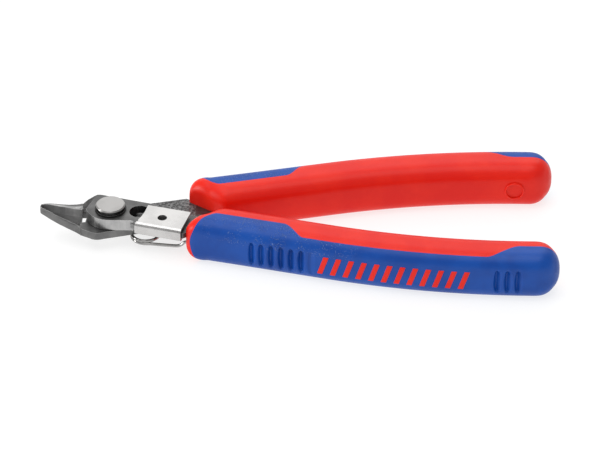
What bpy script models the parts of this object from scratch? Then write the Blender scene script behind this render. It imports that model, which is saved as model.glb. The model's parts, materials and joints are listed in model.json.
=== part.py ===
"""Flush cutter: two lapped steel levers on one bolt, a wire opening spring and two-colour grips.

Lengths here are in millimetres and become metres where a mesh is made. In plan, x runs from the
jaw tip (0) to the ends of the grips (OVERALL_LENGTH), y runs across, and z is counted from the
middle plane of the head. The half named upper has its jaw at +y and its grip at -y.
"""

from math import atan, ceil, cos, hypot, pi, radians, sin, sqrt, tan

import bmesh
import bpy
from mathutils import Matrix, Vector

MM = 0.001

# Driving dimensions
OVERALL_LENGTH = 125.0
GRIP_THICKNESS = 12.0
GRIP_WIDTH = 10.8
PIVOT_X = 17.1
HEAD_HALF_THICKNESS = 2.5
LAP_Z = -0.45
LAP_GAP = 0.1
HANDLE_SLOPE = 0.25
GAP = 0.3

# Jaws: the flush face rises towards the tip, so that the handles clear the board
FLUSH_SLOPE = 0.377
FLUSH_Z_AT_TIP = 1.3
JAW_END_X = 9.9
EDGE_GAP = 0.05
LAND = 0.12
LIFT_START_X = 4.0

# Shoulder between the upper joint plate and its jaw: y, height at the jaw, power of the rise
SHOULDER_X = 8.8
SHOULDER_RUN_OUT = (11.2, 0.37)
SHOULDER_STATIONS = (
    (-2.0, 0.1, 3.0),
    (1.35, 0.1, 3.0),
    (2.8, 0.1, 2.6),
    (3.8, 0.5, 1.8),
    (4.9, 0.85, 1.1),
    (7.0, 1.2, 1.0),
)

# Joint
DISC_RADIUS = 6.15
DISC_OFFSET = 1.35
JOINT_FLAT_Y = 4.8
CORNER_X, CORNER_Y = 14.4, 6.05
SHANK_RADIUS = 2.2
THREAD_RADIUS = 1.8
HEAD_RADIUS = 3.57
HEAD_CHAMFER = 0.45
HEAD_HEIGHT = 1.0
WASHER_RADIUS = 3.8
WASHER_THICKNESS = 0.35
NUT_RADIUS = 3.3
NUT_THICKNESS = 0.9
RUNNING_GAP = 0.1

# Opening limiter
STOP_X, STOP_Y = 24.2, -1.0
STOP_HOLE_RADIUS = 2.5
STOP_PIN_RADIUS = 0.95
STOP_PIN_HEIGHT = 1.2

# Levers behind the joint
TANG_HALF_WIDTH = 3.0
TANG_END_X = 95.0
NECK_END_X = 28.5
TANG_Z = (0.35, 1.75)

# Folded clip on the upper lever, in its own frame: u along the lever, v outwards
CLIP_CORNER = (26.0, 0.4)
CLIP_ANGLE = 15.2
CLIP_LENGTH = 10.7
CLIP_WIDTH = 7.6
SHEET = 0.5
CLIP_FLANGE = 3.4
CLIP_GAP = 0.05
CLIP_HOLE = (5.0, 3.5, 1.15)
CLIP_NOTCH = (4.3, 0.45)

# Opening spring
WIRE_RADIUS = 0.38
COIL_CENTRE = (25.6, -2.2)
COIL_RADIUS = 3.4
COIL_LOW_Z = -3.75
COIL_HIGH_Z = -2.95
COIL_LEAVE_ANGLE = 110.0
COIL_START_ANGLE = 270.0
COIL_TURN = COIL_START_ANGLE + 360.0 - COIL_LEAVE_ANGLE
LEG_END_X = 41.0

# Grips
BEND_X = 70.0
BEND_RADIUS = 195.0
GRIP_ROUND = 2.9
NOSE_RADIUS = 3.1
PAD_THICKNESS = 1.6
PAD_STEP = 3.6
PAD_STEP_START = (59.5, 64.5)
PAD_STEP_END = (108.0, 115.0)
GROOVE_RADIUS = 1.25
GROOVE_DEPTH = 0.55
GROOVE_PITCH = 2.45
GROOVE_HEIGHT = 6.0
GROOVE_ROWS = ((51.3, 7), (111.3, 3))

# Colours and finishes: base colour, roughness, metallic
FINISHES = {
    "burnished_steel": ((0.16, 0.16, 0.165), 0.42, 0.9),
    "bright_steel": ((0.78, 0.78, 0.76), 0.25, 1.0),
    "red_plastic": ((0.75, 0.045, 0.02), 0.4, 0.0),
    "blue_rubber": ((0.02, 0.08, 0.32), 0.5, 0.0),
}


def row_point(x, y, z):
    """Metres in the row frame, whose origin is under the middle of the tool on the surface it lies on."""
    return Vector(((x - OVERALL_LENGTH / 2) * MM, y * MM, (z + GRIP_THICKNESS / 2) * MM))


def centre_y(x):
    """How far the middle line of a handle stands from the middle of the tool."""
    if x <= BEND_X:
        return (x - PIVOT_X) * HANDLE_SLOPE
    slope_angle = atan(HANDLE_SLOPE)
    arc_x = BEND_X + BEND_RADIUS * sin(slope_angle)
    arc_y = (BEND_X - PIVOT_X) * HANDLE_SLOPE - BEND_RADIUS * cos(slope_angle)
    return arc_y + sqrt(BEND_RADIUS**2 - (x - arc_x) ** 2)


def beside(x, offset):
    """A plan point at a distance outwards, square to a handle's middle line."""
    slope = (centre_y(x + 0.5) - centre_y(x - 0.5)) / 1.0
    length = hypot(1.0, slope)
    return (x - offset * slope / length, centre_y(x) + offset / length)


def spread(start, end, count):
    """Evenly spaced values from start to end, both included."""
    return [start + (end - start) * i / (count - 1) for i in range(count)]


def arc(cx, cy, radius, start, end, count=9):
    """Points on an arc between two angles in degrees."""
    return [(cx + radius * cos(radians(a)), cy + radius * sin(radians(a))) for a in spread(start, end, count)]


def rounded(corners):
    """A closed outline from (x, y, radius) corners, each radius above 0 turned into an arc."""
    outline = []
    for i, (x, y, radius) in enumerate(corners):
        if radius <= 0:
            outline.append((x, y))
            continue
        here = Vector((x, y))
        before = (Vector(corners[i - 1][:2]) - here).normalized()
        after = (Vector(corners[(i + 1) % len(corners)][:2]) - here).normalized()
        half = before.angle(after) / 2
        turn = pi - 2 * half
        middle = here + (before + after).normalized() * radius / sin(half)
        start = here + before * radius / tan(half) - middle
        way = 1 if before.x * after.y - before.y * after.x < 0 else -1
        steps = max(2, ceil(turn / radians(14)))
        for k in range(steps + 1):
            outline.append(tuple(middle + Matrix.Rotation(way * turn * k / steps, 2) @ start))
    return outline


def mirrored(outline):
    return [(x, -y) for x, y in outline]


def material(name):
    """The Principled material of a finish, made once."""
    if name in bpy.data.materials:
        return bpy.data.materials[name]
    colour, roughness, metallic = FINISHES[name]
    made = bpy.data.materials.new(name)
    made.use_nodes = True
    shader = made.node_tree.nodes["Principled BSDF"]
    shader.inputs["Base Color"].default_value = (*colour, 1.0)
    shader.inputs["Roughness"].default_value = roughness
    shader.inputs["Metallic"].default_value = metallic
    return made


def link(name, mesh, collection, finish=None):
    """A new object of the mesh, hidden from the render when it is a cutter."""
    obj = bpy.data.objects.new(name, mesh)
    collection.objects.link(obj)
    if finish:
        mesh.materials.clear()
        mesh.materials.append(material(finish))
    else:
        obj.hide_render = True
        obj.display_type = "WIRE"
    return obj


def mesh_of_curve(curve):
    """A welded mesh of a curve, with the curve removed."""
    helper = bpy.data.objects.new(curve.name, curve)
    bpy.context.scene.collection.objects.link(helper)
    bpy.context.view_layer.update()
    mesh = bpy.data.meshes.new_from_object(helper.evaluated_get(bpy.context.evaluated_depsgraph_get()))
    bpy.data.objects.remove(helper)
    bpy.data.curves.remove(curve)
    shape = bmesh.new()
    shape.from_mesh(mesh)
    bmesh.ops.remove_doubles(shape, verts=shape.verts, dist=1e-6)
    bmesh.ops.recalc_face_normals(shape, faces=shape.faces)
    shape.to_mesh(mesh)
    shape.free()
    return mesh


def plate_mesh(name, outline, z_low, z_high):
    """A flat plate: the plan outline, extruded from one height to another."""
    curve = bpy.data.curves.new(name, "CURVE")
    curve.dimensions = "2D"
    curve.fill_mode = "BOTH"
    curve.extrude = (z_high - z_low) / 2 * MM
    line = curve.splines.new("POLY")
    line.points.add(len(outline) - 1)
    for point, (x, y) in zip(line.points, outline):
        point.co = (*row_point(x, y, 0).xy, 0, 1)
    line.use_cyclic_u = True
    mesh = mesh_of_curve(curve)
    mesh.transform(Matrix.Translation((0, 0, row_point(0, 0, (z_low + z_high) / 2).z)))
    return mesh


def wire_mesh(name, points, radius):
    """A round wire through the points, with closed ends."""
    curve = bpy.data.curves.new(name, "CURVE")
    curve.dimensions = "3D"
    curve.bevel_depth = radius * MM
    curve.bevel_resolution = 2
    curve.use_fill_caps = True
    line = curve.splines.new("POLY")
    line.points.add(len(points) - 1)
    for point, place in zip(line.points, points):
        point.co = (*row_point(*place), 1)
    return mesh_of_curve(curve)


def round_mesh(name, x, y, profile, segments=48):
    """A solid turned about an upright axis, from (radius, z) points; the ends lie on the axis."""
    mesh = bpy.data.meshes.new(name)
    shape = bmesh.new()
    corners = [shape.verts.new(row_point(x + r, y, z)) for r, z in profile]
    edges = [shape.edges.new(pair) for pair in zip(corners, corners[1:])]
    bmesh.ops.spin(
        shape,
        geom=corners + edges,
        cent=row_point(x, y, 0),
        axis=(0, 0, 1),
        angle=2 * pi,
        steps=segments,
        use_merge=True,
    )
    bmesh.ops.remove_doubles(shape, verts=shape.verts, dist=1e-6)
    bmesh.ops.recalc_face_normals(shape, faces=shape.faces)
    shape.to_mesh(mesh)
    shape.free()
    return mesh


def pin_mesh(name, x, y, radius, z_low, z_high, segments=40):
    """A plain upright cylinder."""
    return round_mesh(name, x, y, [(0, z_low), (radius, z_low), (radius, z_high), (0, z_high)], segments)


def loft_mesh(name, sections):
    """A solid through sections of equal length, each a list of (x, y, z), closed at both ends."""
    mesh = bpy.data.meshes.new(name)
    shape = bmesh.new()
    rings = [[shape.verts.new(row_point(*place)) for place in section] for section in sections]
    for near, far in zip(rings, rings[1:]):
        for i in range(len(near)):
            j = (i + 1) % len(near)
            shape.faces.new((near[i], near[j], far[j], far[i]))
    shape.faces.new(rings[0])
    shape.faces.new(rings[-1])
    bmesh.ops.recalc_face_normals(shape, faces=shape.faces)
    shape.to_mesh(mesh)
    shape.free()
    return mesh


def combine(obj, helper, operation):
    """A live Boolean of a hidden helper on an object."""
    modifier = obj.modifiers.new(helper.name, "BOOLEAN")
    modifier.operation = operation
    modifier.solver = "EXACT"
    modifier.object = helper


def flush_z(x):
    return FLUSH_Z_AT_TIP - FLUSH_SLOPE * x


def shoulder_mesh(name):
    """The hollow that drops from the joint plate to the jaw, steep near the disc, gentle outside."""
    sections = []
    for y, low, power in SHOULDER_STATIONS:
        end_x = SHOULDER_RUN_OUT[0] + SHOULDER_RUN_OUT[1] * y
        section = [(SHOULDER_X - 1.5, low)]
        for share in spread(0, 1, 9):
            rise = (HEAD_HALF_THICKNESS - low) * share**power
            section.append((SHOULDER_X + (end_x - SHOULDER_X) * share, low + rise))
        section += [(end_x, HEAD_HALF_THICKNESS + 1), (SHOULDER_X - 1.5, HEAD_HALF_THICKNESS + 1)]
        sections.append([(x, y, z) for x, z in section])
    return loft_mesh(name, sections)


def jaw_mesh(name, side, outer_lift):
    """One jaw: a flat flush face below, a hollow bevel from the ridge down to the cutting edge."""
    stations = (
        # x, outer half width, ridge half width, ridge height over the flush face
        (0.0, 0.42, 0.32, 1.45),
        (0.4, 0.75, 0.50, 2.00),
        (1.0, 1.05, 0.75, 2.15),
        (2.4, 1.80, 1.35, 2.25),
        (4.8, 2.75, 2.05, 2.25),
        (6.8, 3.30, 2.55, 2.30),
        (8.4, 3.70, 3.20, 2.35),
        (JAW_END_X, 4.30, 4.00, 2.40),
    )
    sections = []
    for x, outer, ridge, height in stations:
        low = flush_z(x) + (0.25 if x == 0 else 0.0)
        top = low + height
        lift = outer_lift * (0.2 + 0.8 * max(0.0, (x - LIFT_START_X) / (JAW_END_X - LIFT_START_X)) ** 2)
        hollow_y = EDGE_GAP + (ridge - EDGE_GAP) * 0.5
        hollow_z = low + LAND + (height - LAND) * 0.34
        ring = [
            (EDGE_GAP, low),
            (outer, low),
            (outer, top - 0.15 + lift),
            (ridge, top),
            (hollow_y, hollow_z),
            (EDGE_GAP, low + LAND),
        ]
        sections.append([(x, side * y, z) for y, z in ring])
    return loft_mesh(name, sections)


def joint_outline():
    """Plan of the upper joint plate: disc towards the jaws, ground flat in front, corner at the back."""
    return (
        [(JAW_END_X - 0.05, 4.0), (JAW_END_X - 0.05, 2.8), (11.0, 2.8)]
        + arc(PIVOT_X, DISC_OFFSET, DISC_RADIUS, 180, 270, 14)
        + [(22.6, -JOINT_FLAT_Y), (23.3, -5.9), (23.3, 3.5)]
        + [(CORNER_X + 1.3, CORNER_Y - 0.35), (CORNER_X + 0.5, CORNER_Y - 0.05), (CORNER_X - 0.3, CORNER_Y)]
        + [(CORNER_X - 1.1, CORNER_Y - 0.2), (12.0, 5.25)]
    )


def root_outline():
    """Plan of the block that carries the upper jaw down past the lower plate's disc."""
    return (
        [(JAW_END_X - 0.05, 4.0), (JAW_END_X - 0.05, 2.8)]
        + arc(PIVOT_X, -DISC_OFFSET, DISC_RADIUS + GAP, 139, 114, 6)
        + [(14.0, 6.0), (13.3, 5.8), (12.0, 5.25)]
    )


def tang_outline(end_x, half_width, grown):
    """Plan of the lever behind the joint, from the plate into the grip."""
    stations = spread(42.0, end_x, 14)
    outer = [(x, -y) for x, y in (beside(x, half_width) for x in stations)]
    inner = [(x, -y) for x, y in (beside(x, -half_width) for x in stations)]
    nose = (outer[-1][0] + half_width * 0.6, -centre_y(end_x + half_width * 0.6))
    return (
        [(22.0, 3.7 + grown), (22.0, -4.7 - grown), (23.6, -6.1 - grown), (33.9, -8.9 - grown)]
        + [(36.2, -7.7 - grown)]
        + outer
        + [nose]
        + inner[::-1]
        + [(36.2, -1.0 + grown), (31.0, 0.8 + grown), (27.6, 2.3 + grown)]
    )


def neck_outline():
    """Plan of the full-height neck between the joint plate and the thinner tang."""
    slope = (8.9 - 6.1) / (33.9 - 23.6)
    return [
        (22.2, 3.6),
        (22.2, -4.6),
        (23.6, -6.1),
        (NECK_END_X - 2.0, -6.1 - (NECK_END_X - 2.0 - 23.6) * slope),
        (NECK_END_X, 1.8),
        (27.6, 2.2),
    ]


def upper_lever(parts, helpers):
    lap = LAP_Z + LAP_GAP / 2
    plate = plate_mesh("upper_lever", joint_outline(), lap, HEAD_HALF_THICKNESS)
    lever = link("upper_lever", plate, parts, "burnished_steel")
    combine(lever, link("shoulder_cut", shoulder_mesh("shoulder_cut"), helpers), "DIFFERENCE")
    root = plate_mesh("upper_root", root_outline(), flush_z(JAW_END_X), LAP_Z + 0.55)
    combine(lever, link("upper_root", root, helpers), "UNION")
    combine(lever, link("upper_jaw", jaw_mesh("upper_jaw", 1, 1.3), helpers), "UNION")
    tang = plate_mesh("upper_tang", tang_outline(TANG_END_X, TANG_HALF_WIDTH, 0), *TANG_Z)
    combine(lever, link("upper_tang", tang, helpers), "UNION")
    neck = plate_mesh("upper_neck", neck_outline(), TANG_Z[0] + 0.05, HEAD_HALF_THICKNESS)
    combine(lever, link("upper_neck", neck, helpers), "UNION")
    bore = pin_mesh("upper_bore", PIVOT_X, 0, SHANK_RADIUS + RUNNING_GAP, -9, 9)
    combine(lever, link("upper_bore", bore, helpers), "DIFFERENCE")
    stop = pin_mesh("stop_hole", STOP_X, STOP_Y, STOP_HOLE_RADIUS, -9, 9)
    combine(lever, link("stop_hole", stop, helpers), "DIFFERENCE")
    hole_x, hole_y = clip_point(CLIP_HOLE[0], CLIP_HOLE[1])
    hole = pin_mesh("lever_clip_hole", hole_x, hole_y, CLIP_HOLE[2] - 0.1, -9, 9, 24)
    combine(lever, link("lever_clip_hole", hole, helpers), "DIFFERENCE")


def lower_lever(parts, helpers):
    lap = LAP_Z - LAP_GAP / 2
    plate = plate_mesh("lower_lever", mirrored(joint_outline()), -HEAD_HALF_THICKNESS, lap)
    lever = link("lower_lever", plate, parts, "burnished_steel")
    combine(lever, link("lower_jaw", jaw_mesh("lower_jaw", -1, 0.0), helpers), "UNION")
    tang = mirrored(tang_outline(TANG_END_X, TANG_HALF_WIDTH, 0))
    tang_mesh = plate_mesh("lower_tang", tang, -HEAD_HALF_THICKNESS, lap)
    combine(lever, link("lower_tang", tang_mesh, helpers), "UNION")
    bore = pin_mesh("lower_bore", PIVOT_X, 0, SHANK_RADIUS + RUNNING_GAP, -9, 9)
    combine(lever, link("lower_bore", bore, helpers), "DIFFERENCE")
    seat = pin_mesh("stop_seat", STOP_X, STOP_Y, STOP_PIN_RADIUS + RUNNING_GAP / 2, -9, 9)
    combine(lever, link("stop_seat", seat, helpers), "DIFFERENCE")


def pivot(parts):
    washer_low = HEAD_HALF_THICKNESS + RUNNING_GAP
    head_low = washer_low + WASHER_THICKNESS + RUNNING_GAP / 2
    head_top = head_low + HEAD_HEIGHT
    nut_top = -HEAD_HALF_THICKNESS - RUNNING_GAP
    nut_low = nut_top - NUT_THICKNESS
    bolt = [
        (0, nut_low + 0.1),
        (THREAD_RADIUS - 0.2, nut_low + 0.1),
        (THREAD_RADIUS, nut_low + 0.3),
        (THREAD_RADIUS, nut_top + 0.4),
        (SHANK_RADIUS, nut_top + 0.4),
        (SHANK_RADIUS, head_low),
        (HEAD_RADIUS, head_low),
        (HEAD_RADIUS, head_top - HEAD_CHAMFER),
        (HEAD_RADIUS - HEAD_CHAMFER, head_top),
        (0, head_top),
    ]
    link("pivot_bolt", round_mesh("pivot_bolt", PIVOT_X, 0, bolt, 64), parts, "bright_steel")
    inner = SHANK_RADIUS + RUNNING_GAP
    washer = [(inner, washer_low), (WASHER_RADIUS, washer_low)]
    washer += [(WASHER_RADIUS, washer_low + WASHER_THICKNESS), (inner, washer_low + WASHER_THICKNESS)]
    washer_mesh = round_mesh("bolt_washer", PIVOT_X, 0, washer + washer[:1], 64)
    link("bolt_washer", washer_mesh, parts, "burnished_steel")
    inner = THREAD_RADIUS + RUNNING_GAP / 2
    nut = [(inner, nut_low), (NUT_RADIUS - 0.3, nut_low), (NUT_RADIUS, nut_low + 0.3)]
    nut += [(NUT_RADIUS, nut_top), (inner, nut_top)]
    link("pivot_nut", round_mesh("pivot_nut", PIVOT_X, 0, nut + nut[:1], 64), parts, "bright_steel")
    pin_top = LAP_Z + STOP_PIN_HEIGHT
    pin = pin_mesh("stop_pin", STOP_X, STOP_Y, STOP_PIN_RADIUS, 0.1 - HEAD_HALF_THICKNESS, pin_top, 32)
    link("stop_pin", pin, parts, "burnished_steel")


def clip_point(u, v):
    """Plan point of a place in the clip's own frame."""
    angle = radians(CLIP_ANGLE)
    return (
        CLIP_CORNER[0] + u * cos(angle) - v * sin(angle),
        CLIP_CORNER[1] - u * sin(angle) - v * cos(angle),
    )


def spring_clip(parts, helpers):
    """Sheet folded over the top, outer side and underside of the upper lever."""
    low_inner = TANG_Z[0] - CLIP_GAP
    high_inner = HEAD_HALF_THICKNESS + CLIP_GAP
    low, high = low_inner - SHEET, high_inner + SHEET
    wall = CLIP_WIDTH - SHEET
    inner_bend, outer_bend = 0.25, 0.7
    profile = rounded(
        [
            (0, high_inner, 0),
            (wall, high_inner, inner_bend),
            (wall, low_inner, inner_bend),
            (CLIP_WIDTH - CLIP_FLANGE, low_inner, 0),
            (CLIP_WIDTH - CLIP_FLANGE, low, 0),
            (CLIP_WIDTH, low, outer_bend),
            (CLIP_WIDTH, high, outer_bend),
            (0, high, 0),
        ]
    )
    sections = [[(*clip_point(u, v), z) for v, z in profile] for u in (0, CLIP_LENGTH)]
    clip = link("spring_clip", loft_mesh("spring_clip", sections), parts, "bright_steel")
    hole_x, hole_y = clip_point(CLIP_HOLE[0], CLIP_HOLE[1])
    hole = pin_mesh("clip_hole", hole_x, hole_y, CLIP_HOLE[2], high_inner - 1, high + 1, 32)
    combine(clip, link("clip_hole", hole, helpers), "DIFFERENCE")
    v, size = CLIP_NOTCH
    corners = ((-1, v - size), (0, v - size), (size, v), (0, v + size / 2), (-1, v + size / 2))
    notch_cut = plate_mesh("clip_notch", [clip_point(*corner) for corner in corners], high_inner - 1, high + 1)
    combine(clip, link("clip_notch", notch_cut, helpers), "DIFFERENCE")


def spring_route():
    """Middle line of the spring wire: front leg, one and a half turns, rear leg."""
    cx, cy = COIL_CENTRE
    near_y = cy - COIL_RADIUS
    front_leg = [(LEG_END_X, -7.2, -2.1), (36.4, -6.75, -2.15), (35.3, -6.6, -2.5), (34.6, -6.5, -3.2)]
    front_leg += [(33.8, -6.4, -3.65), (32.6, -6.3, COIL_LOW_Z), (cx + 1.5, near_y - 0.05, COIL_LOW_Z)]
    turns = []
    steps = 44
    for i in range(steps + 1):
        share = i / steps
        angle = radians(COIL_START_ANGLE - COIL_TURN * share)
        height = COIL_LOW_Z + (COIL_HIGH_Z - COIL_LOW_Z) * min(1.0, share * COIL_TURN / 360)
        turns.append((cx + COIL_RADIUS * cos(angle), cy + COIL_RADIUS * sin(angle), height))
    leave = radians(COIL_LEAVE_ANGLE)
    run = (LEG_END_X - 1.0 - turns[-1][0]) / sin(leave)
    rear_end = (turns[-1][0] + run * sin(leave), turns[-1][1] - run * cos(leave), COIL_HIGH_Z)
    return front_leg + turns + [rear_end]


def grip_outline(inset=0.0):
    """Plan of a grip on the +y side: slanted nose in front, bowed sides, round end."""
    half = GRIP_WIDTH / 2 - inset
    end_x = OVERALL_LENGTH - GRIP_WIDTH / 2
    sides = spread(48.0, end_x, 18)
    outer = [beside(x, half) for x in sides]
    inner = [beside(x, -half) for x in sides]
    turned = arc(end_x, centre_y(end_x), half, 90, -90, 13)[1:-1]
    nose = rounded(
        [
            (*inner[0], 0),
            (42.4 + inset * 0.4, 1.15 + inset, 5.5),
            (35.5 + inset, 6.0 + inset * 0.3, NOSE_RADIUS - inset),
            (35.5 + inset, 10.2 - inset, NOSE_RADIUS - inset),
            (*outer[0], 0),
        ]
    )
    return outer + turned + inner[:0:-1] + nose[:-1]


def pad_line(x):
    """Distance from a handle's middle line to the seam between the two colours."""
    for start, end, rising in ((*PAD_STEP_START, True), (*PAD_STEP_END, False)):
        share = min(1.0, max(0.0, (x - start) / (end - start)))
        smooth = share * share * (3 - 2 * share)
        if rising:
            height = smooth
        else:
            height *= 1 - smooth
    return PAD_STEP * height


def pad_region(shift):
    """Plan of everything outside the seam on the +y side, moved inwards by a shift."""
    seam = [beside(x, pad_line(x) - shift) for x in spread(44.0, OVERALL_LENGTH + 4, 70)]
    front = [(36.7 - shift, 30.0), (36.7 - shift, 9.2 - shift), (38.0, 8.0 - shift), (40.5, 6.9 - shift)]
    return front + seam + [(OVERALL_LENGTH + 4, 30.0)]


def grip_body(name, inset, helpers):
    """The full rounded grip on the +y side, or the same shape with every wall moved inwards."""
    half_thickness = GRIP_THICKNESS / 2 - inset
    body = link(name, plate_mesh(name, grip_outline(inset), -half_thickness, half_thickness), helpers)
    bevel = body.modifiers.new("Rounding", "BEVEL")
    bevel.width = (GRIP_ROUND - inset) * MM
    bevel.segments = 4
    bevel.limit_method = "ANGLE"
    bevel.angle_limit = radians(50)
    return body


def baked(obj):
    """The mesh of an object with its modifiers applied."""
    bpy.context.view_layer.update()
    graph = bpy.context.evaluated_depsgraph_get()
    return bpy.data.meshes.new_from_object(obj.evaluated_get(graph))


def across(mesh):
    """A mirror image of a mesh on the other side of the middle of the tool."""
    image = mesh.copy()
    image.transform(Matrix.Diagonal((1, -1, 1, 1)))
    image.flip_normals()
    return image


def grip_blanks(helpers):
    """Core and pad on the +y side, before the sockets are cut."""
    full = grip_body("grip_body", 0.0, helpers)
    bed = grip_body("grip_bed", PAD_THICKNESS, helpers)
    loose_bed = grip_body("grip_loose_bed", PAD_THICKNESS + GAP, helpers)
    tall = GRIP_THICKNESS
    pad = link("pad_blank", plate_mesh("pad_blank", pad_region(0), -tall, tall), helpers)
    combine(pad, full, "INTERSECT")
    combine(pad, bed, "DIFFERENCE")
    combine(pad, link("grooves", groove_mesh(), helpers), "DIFFERENCE")
    recess = link("pad_recess", plate_mesh("pad_recess", pad_region(GAP), -tall, tall), helpers)
    combine(recess, loose_bed, "DIFFERENCE")
    core = link("core_blank", baked(full), helpers)
    combine(core, recess, "DIFFERENCE")
    return baked(core), baked(pad)


def grip(half, core_mesh, pad_mesh, socket, leg, parts, helpers):
    """The red core that holds the tang and the spring leg, and the blue pad on its outer side."""
    link(f"{half}_grip_pad", pad_mesh, parts, "blue_rubber")
    core = link(f"{half}_grip_core", core_mesh, parts, "red_plastic")
    combine(core, link(f"{half}_tang_socket", socket, helpers), "DIFFERENCE")
    leg_cut = wire_mesh("leg_socket", leg, WIRE_RADIUS + GAP)
    combine(core, link(f"{half}_leg_socket", leg_cut, helpers), "DIFFERENCE")


def groove_mesh():
    """Upright finger grooves on the outer side, as one cutter of separate rods."""
    shape = bmesh.new()
    for first, count in GROOVE_ROWS:
        for i in range(count):
            x, y = beside(first + i * GROOVE_PITCH, GRIP_WIDTH / 2 + GROOVE_RADIUS - GROOVE_DEPTH)
            bmesh.ops.create_cone(
                shape,
                cap_ends=True,
                segments=20,
                radius1=GROOVE_RADIUS * MM,
                radius2=GROOVE_RADIUS * MM,
                depth=GROOVE_HEIGHT * MM,
                matrix=Matrix.Translation(row_point(x, y, 0)),
            )
    mesh = bpy.data.meshes.new("grooves")
    shape.to_mesh(mesh)
    shape.free()
    return mesh


def build():
    for obj in list(bpy.data.objects):
        bpy.data.objects.remove(obj, do_unlink=True)
    parts = bpy.data.collections.new("flush_cutter")
    helpers = bpy.data.collections.new("cutters")
    bpy.context.scene.collection.children.link(parts)
    bpy.context.scene.collection.children.link(helpers)

    upper_lever(parts, helpers)
    lower_lever(parts, helpers)
    pivot(parts)
    spring_clip(parts, helpers)
    route = spring_route()
    link("opening_spring", wire_mesh("opening_spring", route, WIRE_RADIUS), parts, "bright_steel")
    front_leg = [(LEG_END_X + GAP, *route[0][1:]), *route[1:4]]
    rear_leg = [route[-2], (LEG_END_X - 1.0 + GAP, route[-1][1] + GAP * 0.36, route[-1][2])]
    socket = tang_outline(TANG_END_X + GAP, TANG_HALF_WIDTH + GAP, GAP)
    lower_top = LAP_Z - LAP_GAP / 2 + GAP
    upper_socket = plate_mesh("upper_socket", socket, TANG_Z[0] - GAP, TANG_Z[1] + GAP)
    lower_socket = plate_mesh("lower_socket", mirrored(socket), -HEAD_HALF_THICKNESS - GAP, lower_top)
    core, pad = grip_blanks(helpers)
    grip("upper", across(core), across(pad), upper_socket, front_leg, parts, helpers)
    grip("lower", core, pad, lower_socket, rear_leg, parts, helpers)


build()
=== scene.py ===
"""Dresses the flush cutter: lapped steel levers, sheet clip, wire spring and two-colour grips.

Places are counted in millimetres from the jaw tip (x), from the middle line (y) and from the middle
plane of the head (z), and ToolSpace turns them into the frame's metres.
"""

from __future__ import annotations

import json
import logging
from dataclasses import dataclass, field
from enum import Enum
from math import asin, atan2, cos, exp, hypot, log, pi, radians, sin, sqrt

import bpy
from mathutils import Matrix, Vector


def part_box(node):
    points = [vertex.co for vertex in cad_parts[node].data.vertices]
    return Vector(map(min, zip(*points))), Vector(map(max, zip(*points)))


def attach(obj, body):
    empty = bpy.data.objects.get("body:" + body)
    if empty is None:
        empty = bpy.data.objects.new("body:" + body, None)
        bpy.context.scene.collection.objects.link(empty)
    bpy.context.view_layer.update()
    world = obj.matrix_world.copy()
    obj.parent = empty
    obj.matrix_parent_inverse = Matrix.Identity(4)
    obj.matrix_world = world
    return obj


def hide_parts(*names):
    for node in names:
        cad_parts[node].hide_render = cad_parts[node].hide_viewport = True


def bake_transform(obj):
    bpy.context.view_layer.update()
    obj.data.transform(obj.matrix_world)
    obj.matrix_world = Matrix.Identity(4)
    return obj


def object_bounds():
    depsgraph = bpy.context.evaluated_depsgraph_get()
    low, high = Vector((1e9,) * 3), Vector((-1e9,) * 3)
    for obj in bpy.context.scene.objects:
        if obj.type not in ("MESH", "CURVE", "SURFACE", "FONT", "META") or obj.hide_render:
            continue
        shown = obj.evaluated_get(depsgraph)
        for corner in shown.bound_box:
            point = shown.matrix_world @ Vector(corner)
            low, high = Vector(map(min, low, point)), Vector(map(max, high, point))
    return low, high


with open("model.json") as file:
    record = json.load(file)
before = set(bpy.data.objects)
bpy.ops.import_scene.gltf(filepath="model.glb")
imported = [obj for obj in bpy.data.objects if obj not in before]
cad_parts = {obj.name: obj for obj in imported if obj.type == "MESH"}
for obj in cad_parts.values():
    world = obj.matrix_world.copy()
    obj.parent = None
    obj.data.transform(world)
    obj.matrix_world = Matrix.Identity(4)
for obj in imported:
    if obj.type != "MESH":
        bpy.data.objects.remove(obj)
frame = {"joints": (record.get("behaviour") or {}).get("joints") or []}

LOG = logging.getLogger("flush_cutter")
MM = 0.001
Point = tuple[float, float, float]
Plan = list[tuple[float, float]]
Colour = tuple[float, float, float, float]
CAD_BOX = [list(corner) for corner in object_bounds()]
STOP_PLACE = (24.2, -1.0)
FAR = 9.0


class Body(Enum):
    """The rigid bodies that a piece can ride on."""

    UPPER = "upper"
    LOWER = "lower"


class SteelFace(Enum):
    """The finishes of a lever's faces, numbered as its materials are."""

    BURNISHED = 0
    GROUND = 1
    JAW = 2
    FORGED = 3
    HOLLOW = 4


class Slot(Enum):
    """The record's material slots."""

    BURNISHED = "burnished_steel"
    BRIGHT = "bright_steel"
    RED = "red_plastic"
    BLUE = "blue_rubber"


@dataclass(frozen=True)
class ToolSpace:
    """Where the tool lies in the frame."""

    tip_x: float
    middle_z: float
    pivot_x: float
    length: float

    @classmethod
    def from_frame(cls) -> ToolSpace:
        """Read the tip, the middle plane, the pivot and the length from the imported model.

        Returns:
            The space that every piece is placed in.
        """
        low, high = CAD_BOX
        pivot = frame["joints"][0]["pos_m"]
        grip_low, grip_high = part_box("upper_grip_core")
        return cls(
            tip_x=low[0],
            middle_z=(grip_low.z + grip_high.z) / 2,
            pivot_x=(pivot[0] - low[0]) / MM,
            length=(high[0] - low[0]) / MM,
        )

    def at(self, x: float, y: float, z: float) -> Vector:
        """Turn a place on the tool into metres in the frame.

        Args:
            x: Millimetres from the jaw tip.
            y: Millimetres from the middle line.
            z: Millimetres from the head's middle plane.

        Returns:
            The place in the frame.
        """
        return Vector((self.tip_x + x * MM, y * MM, self.middle_z + z * MM))


SPACE = ToolSpace.from_frame()


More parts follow.
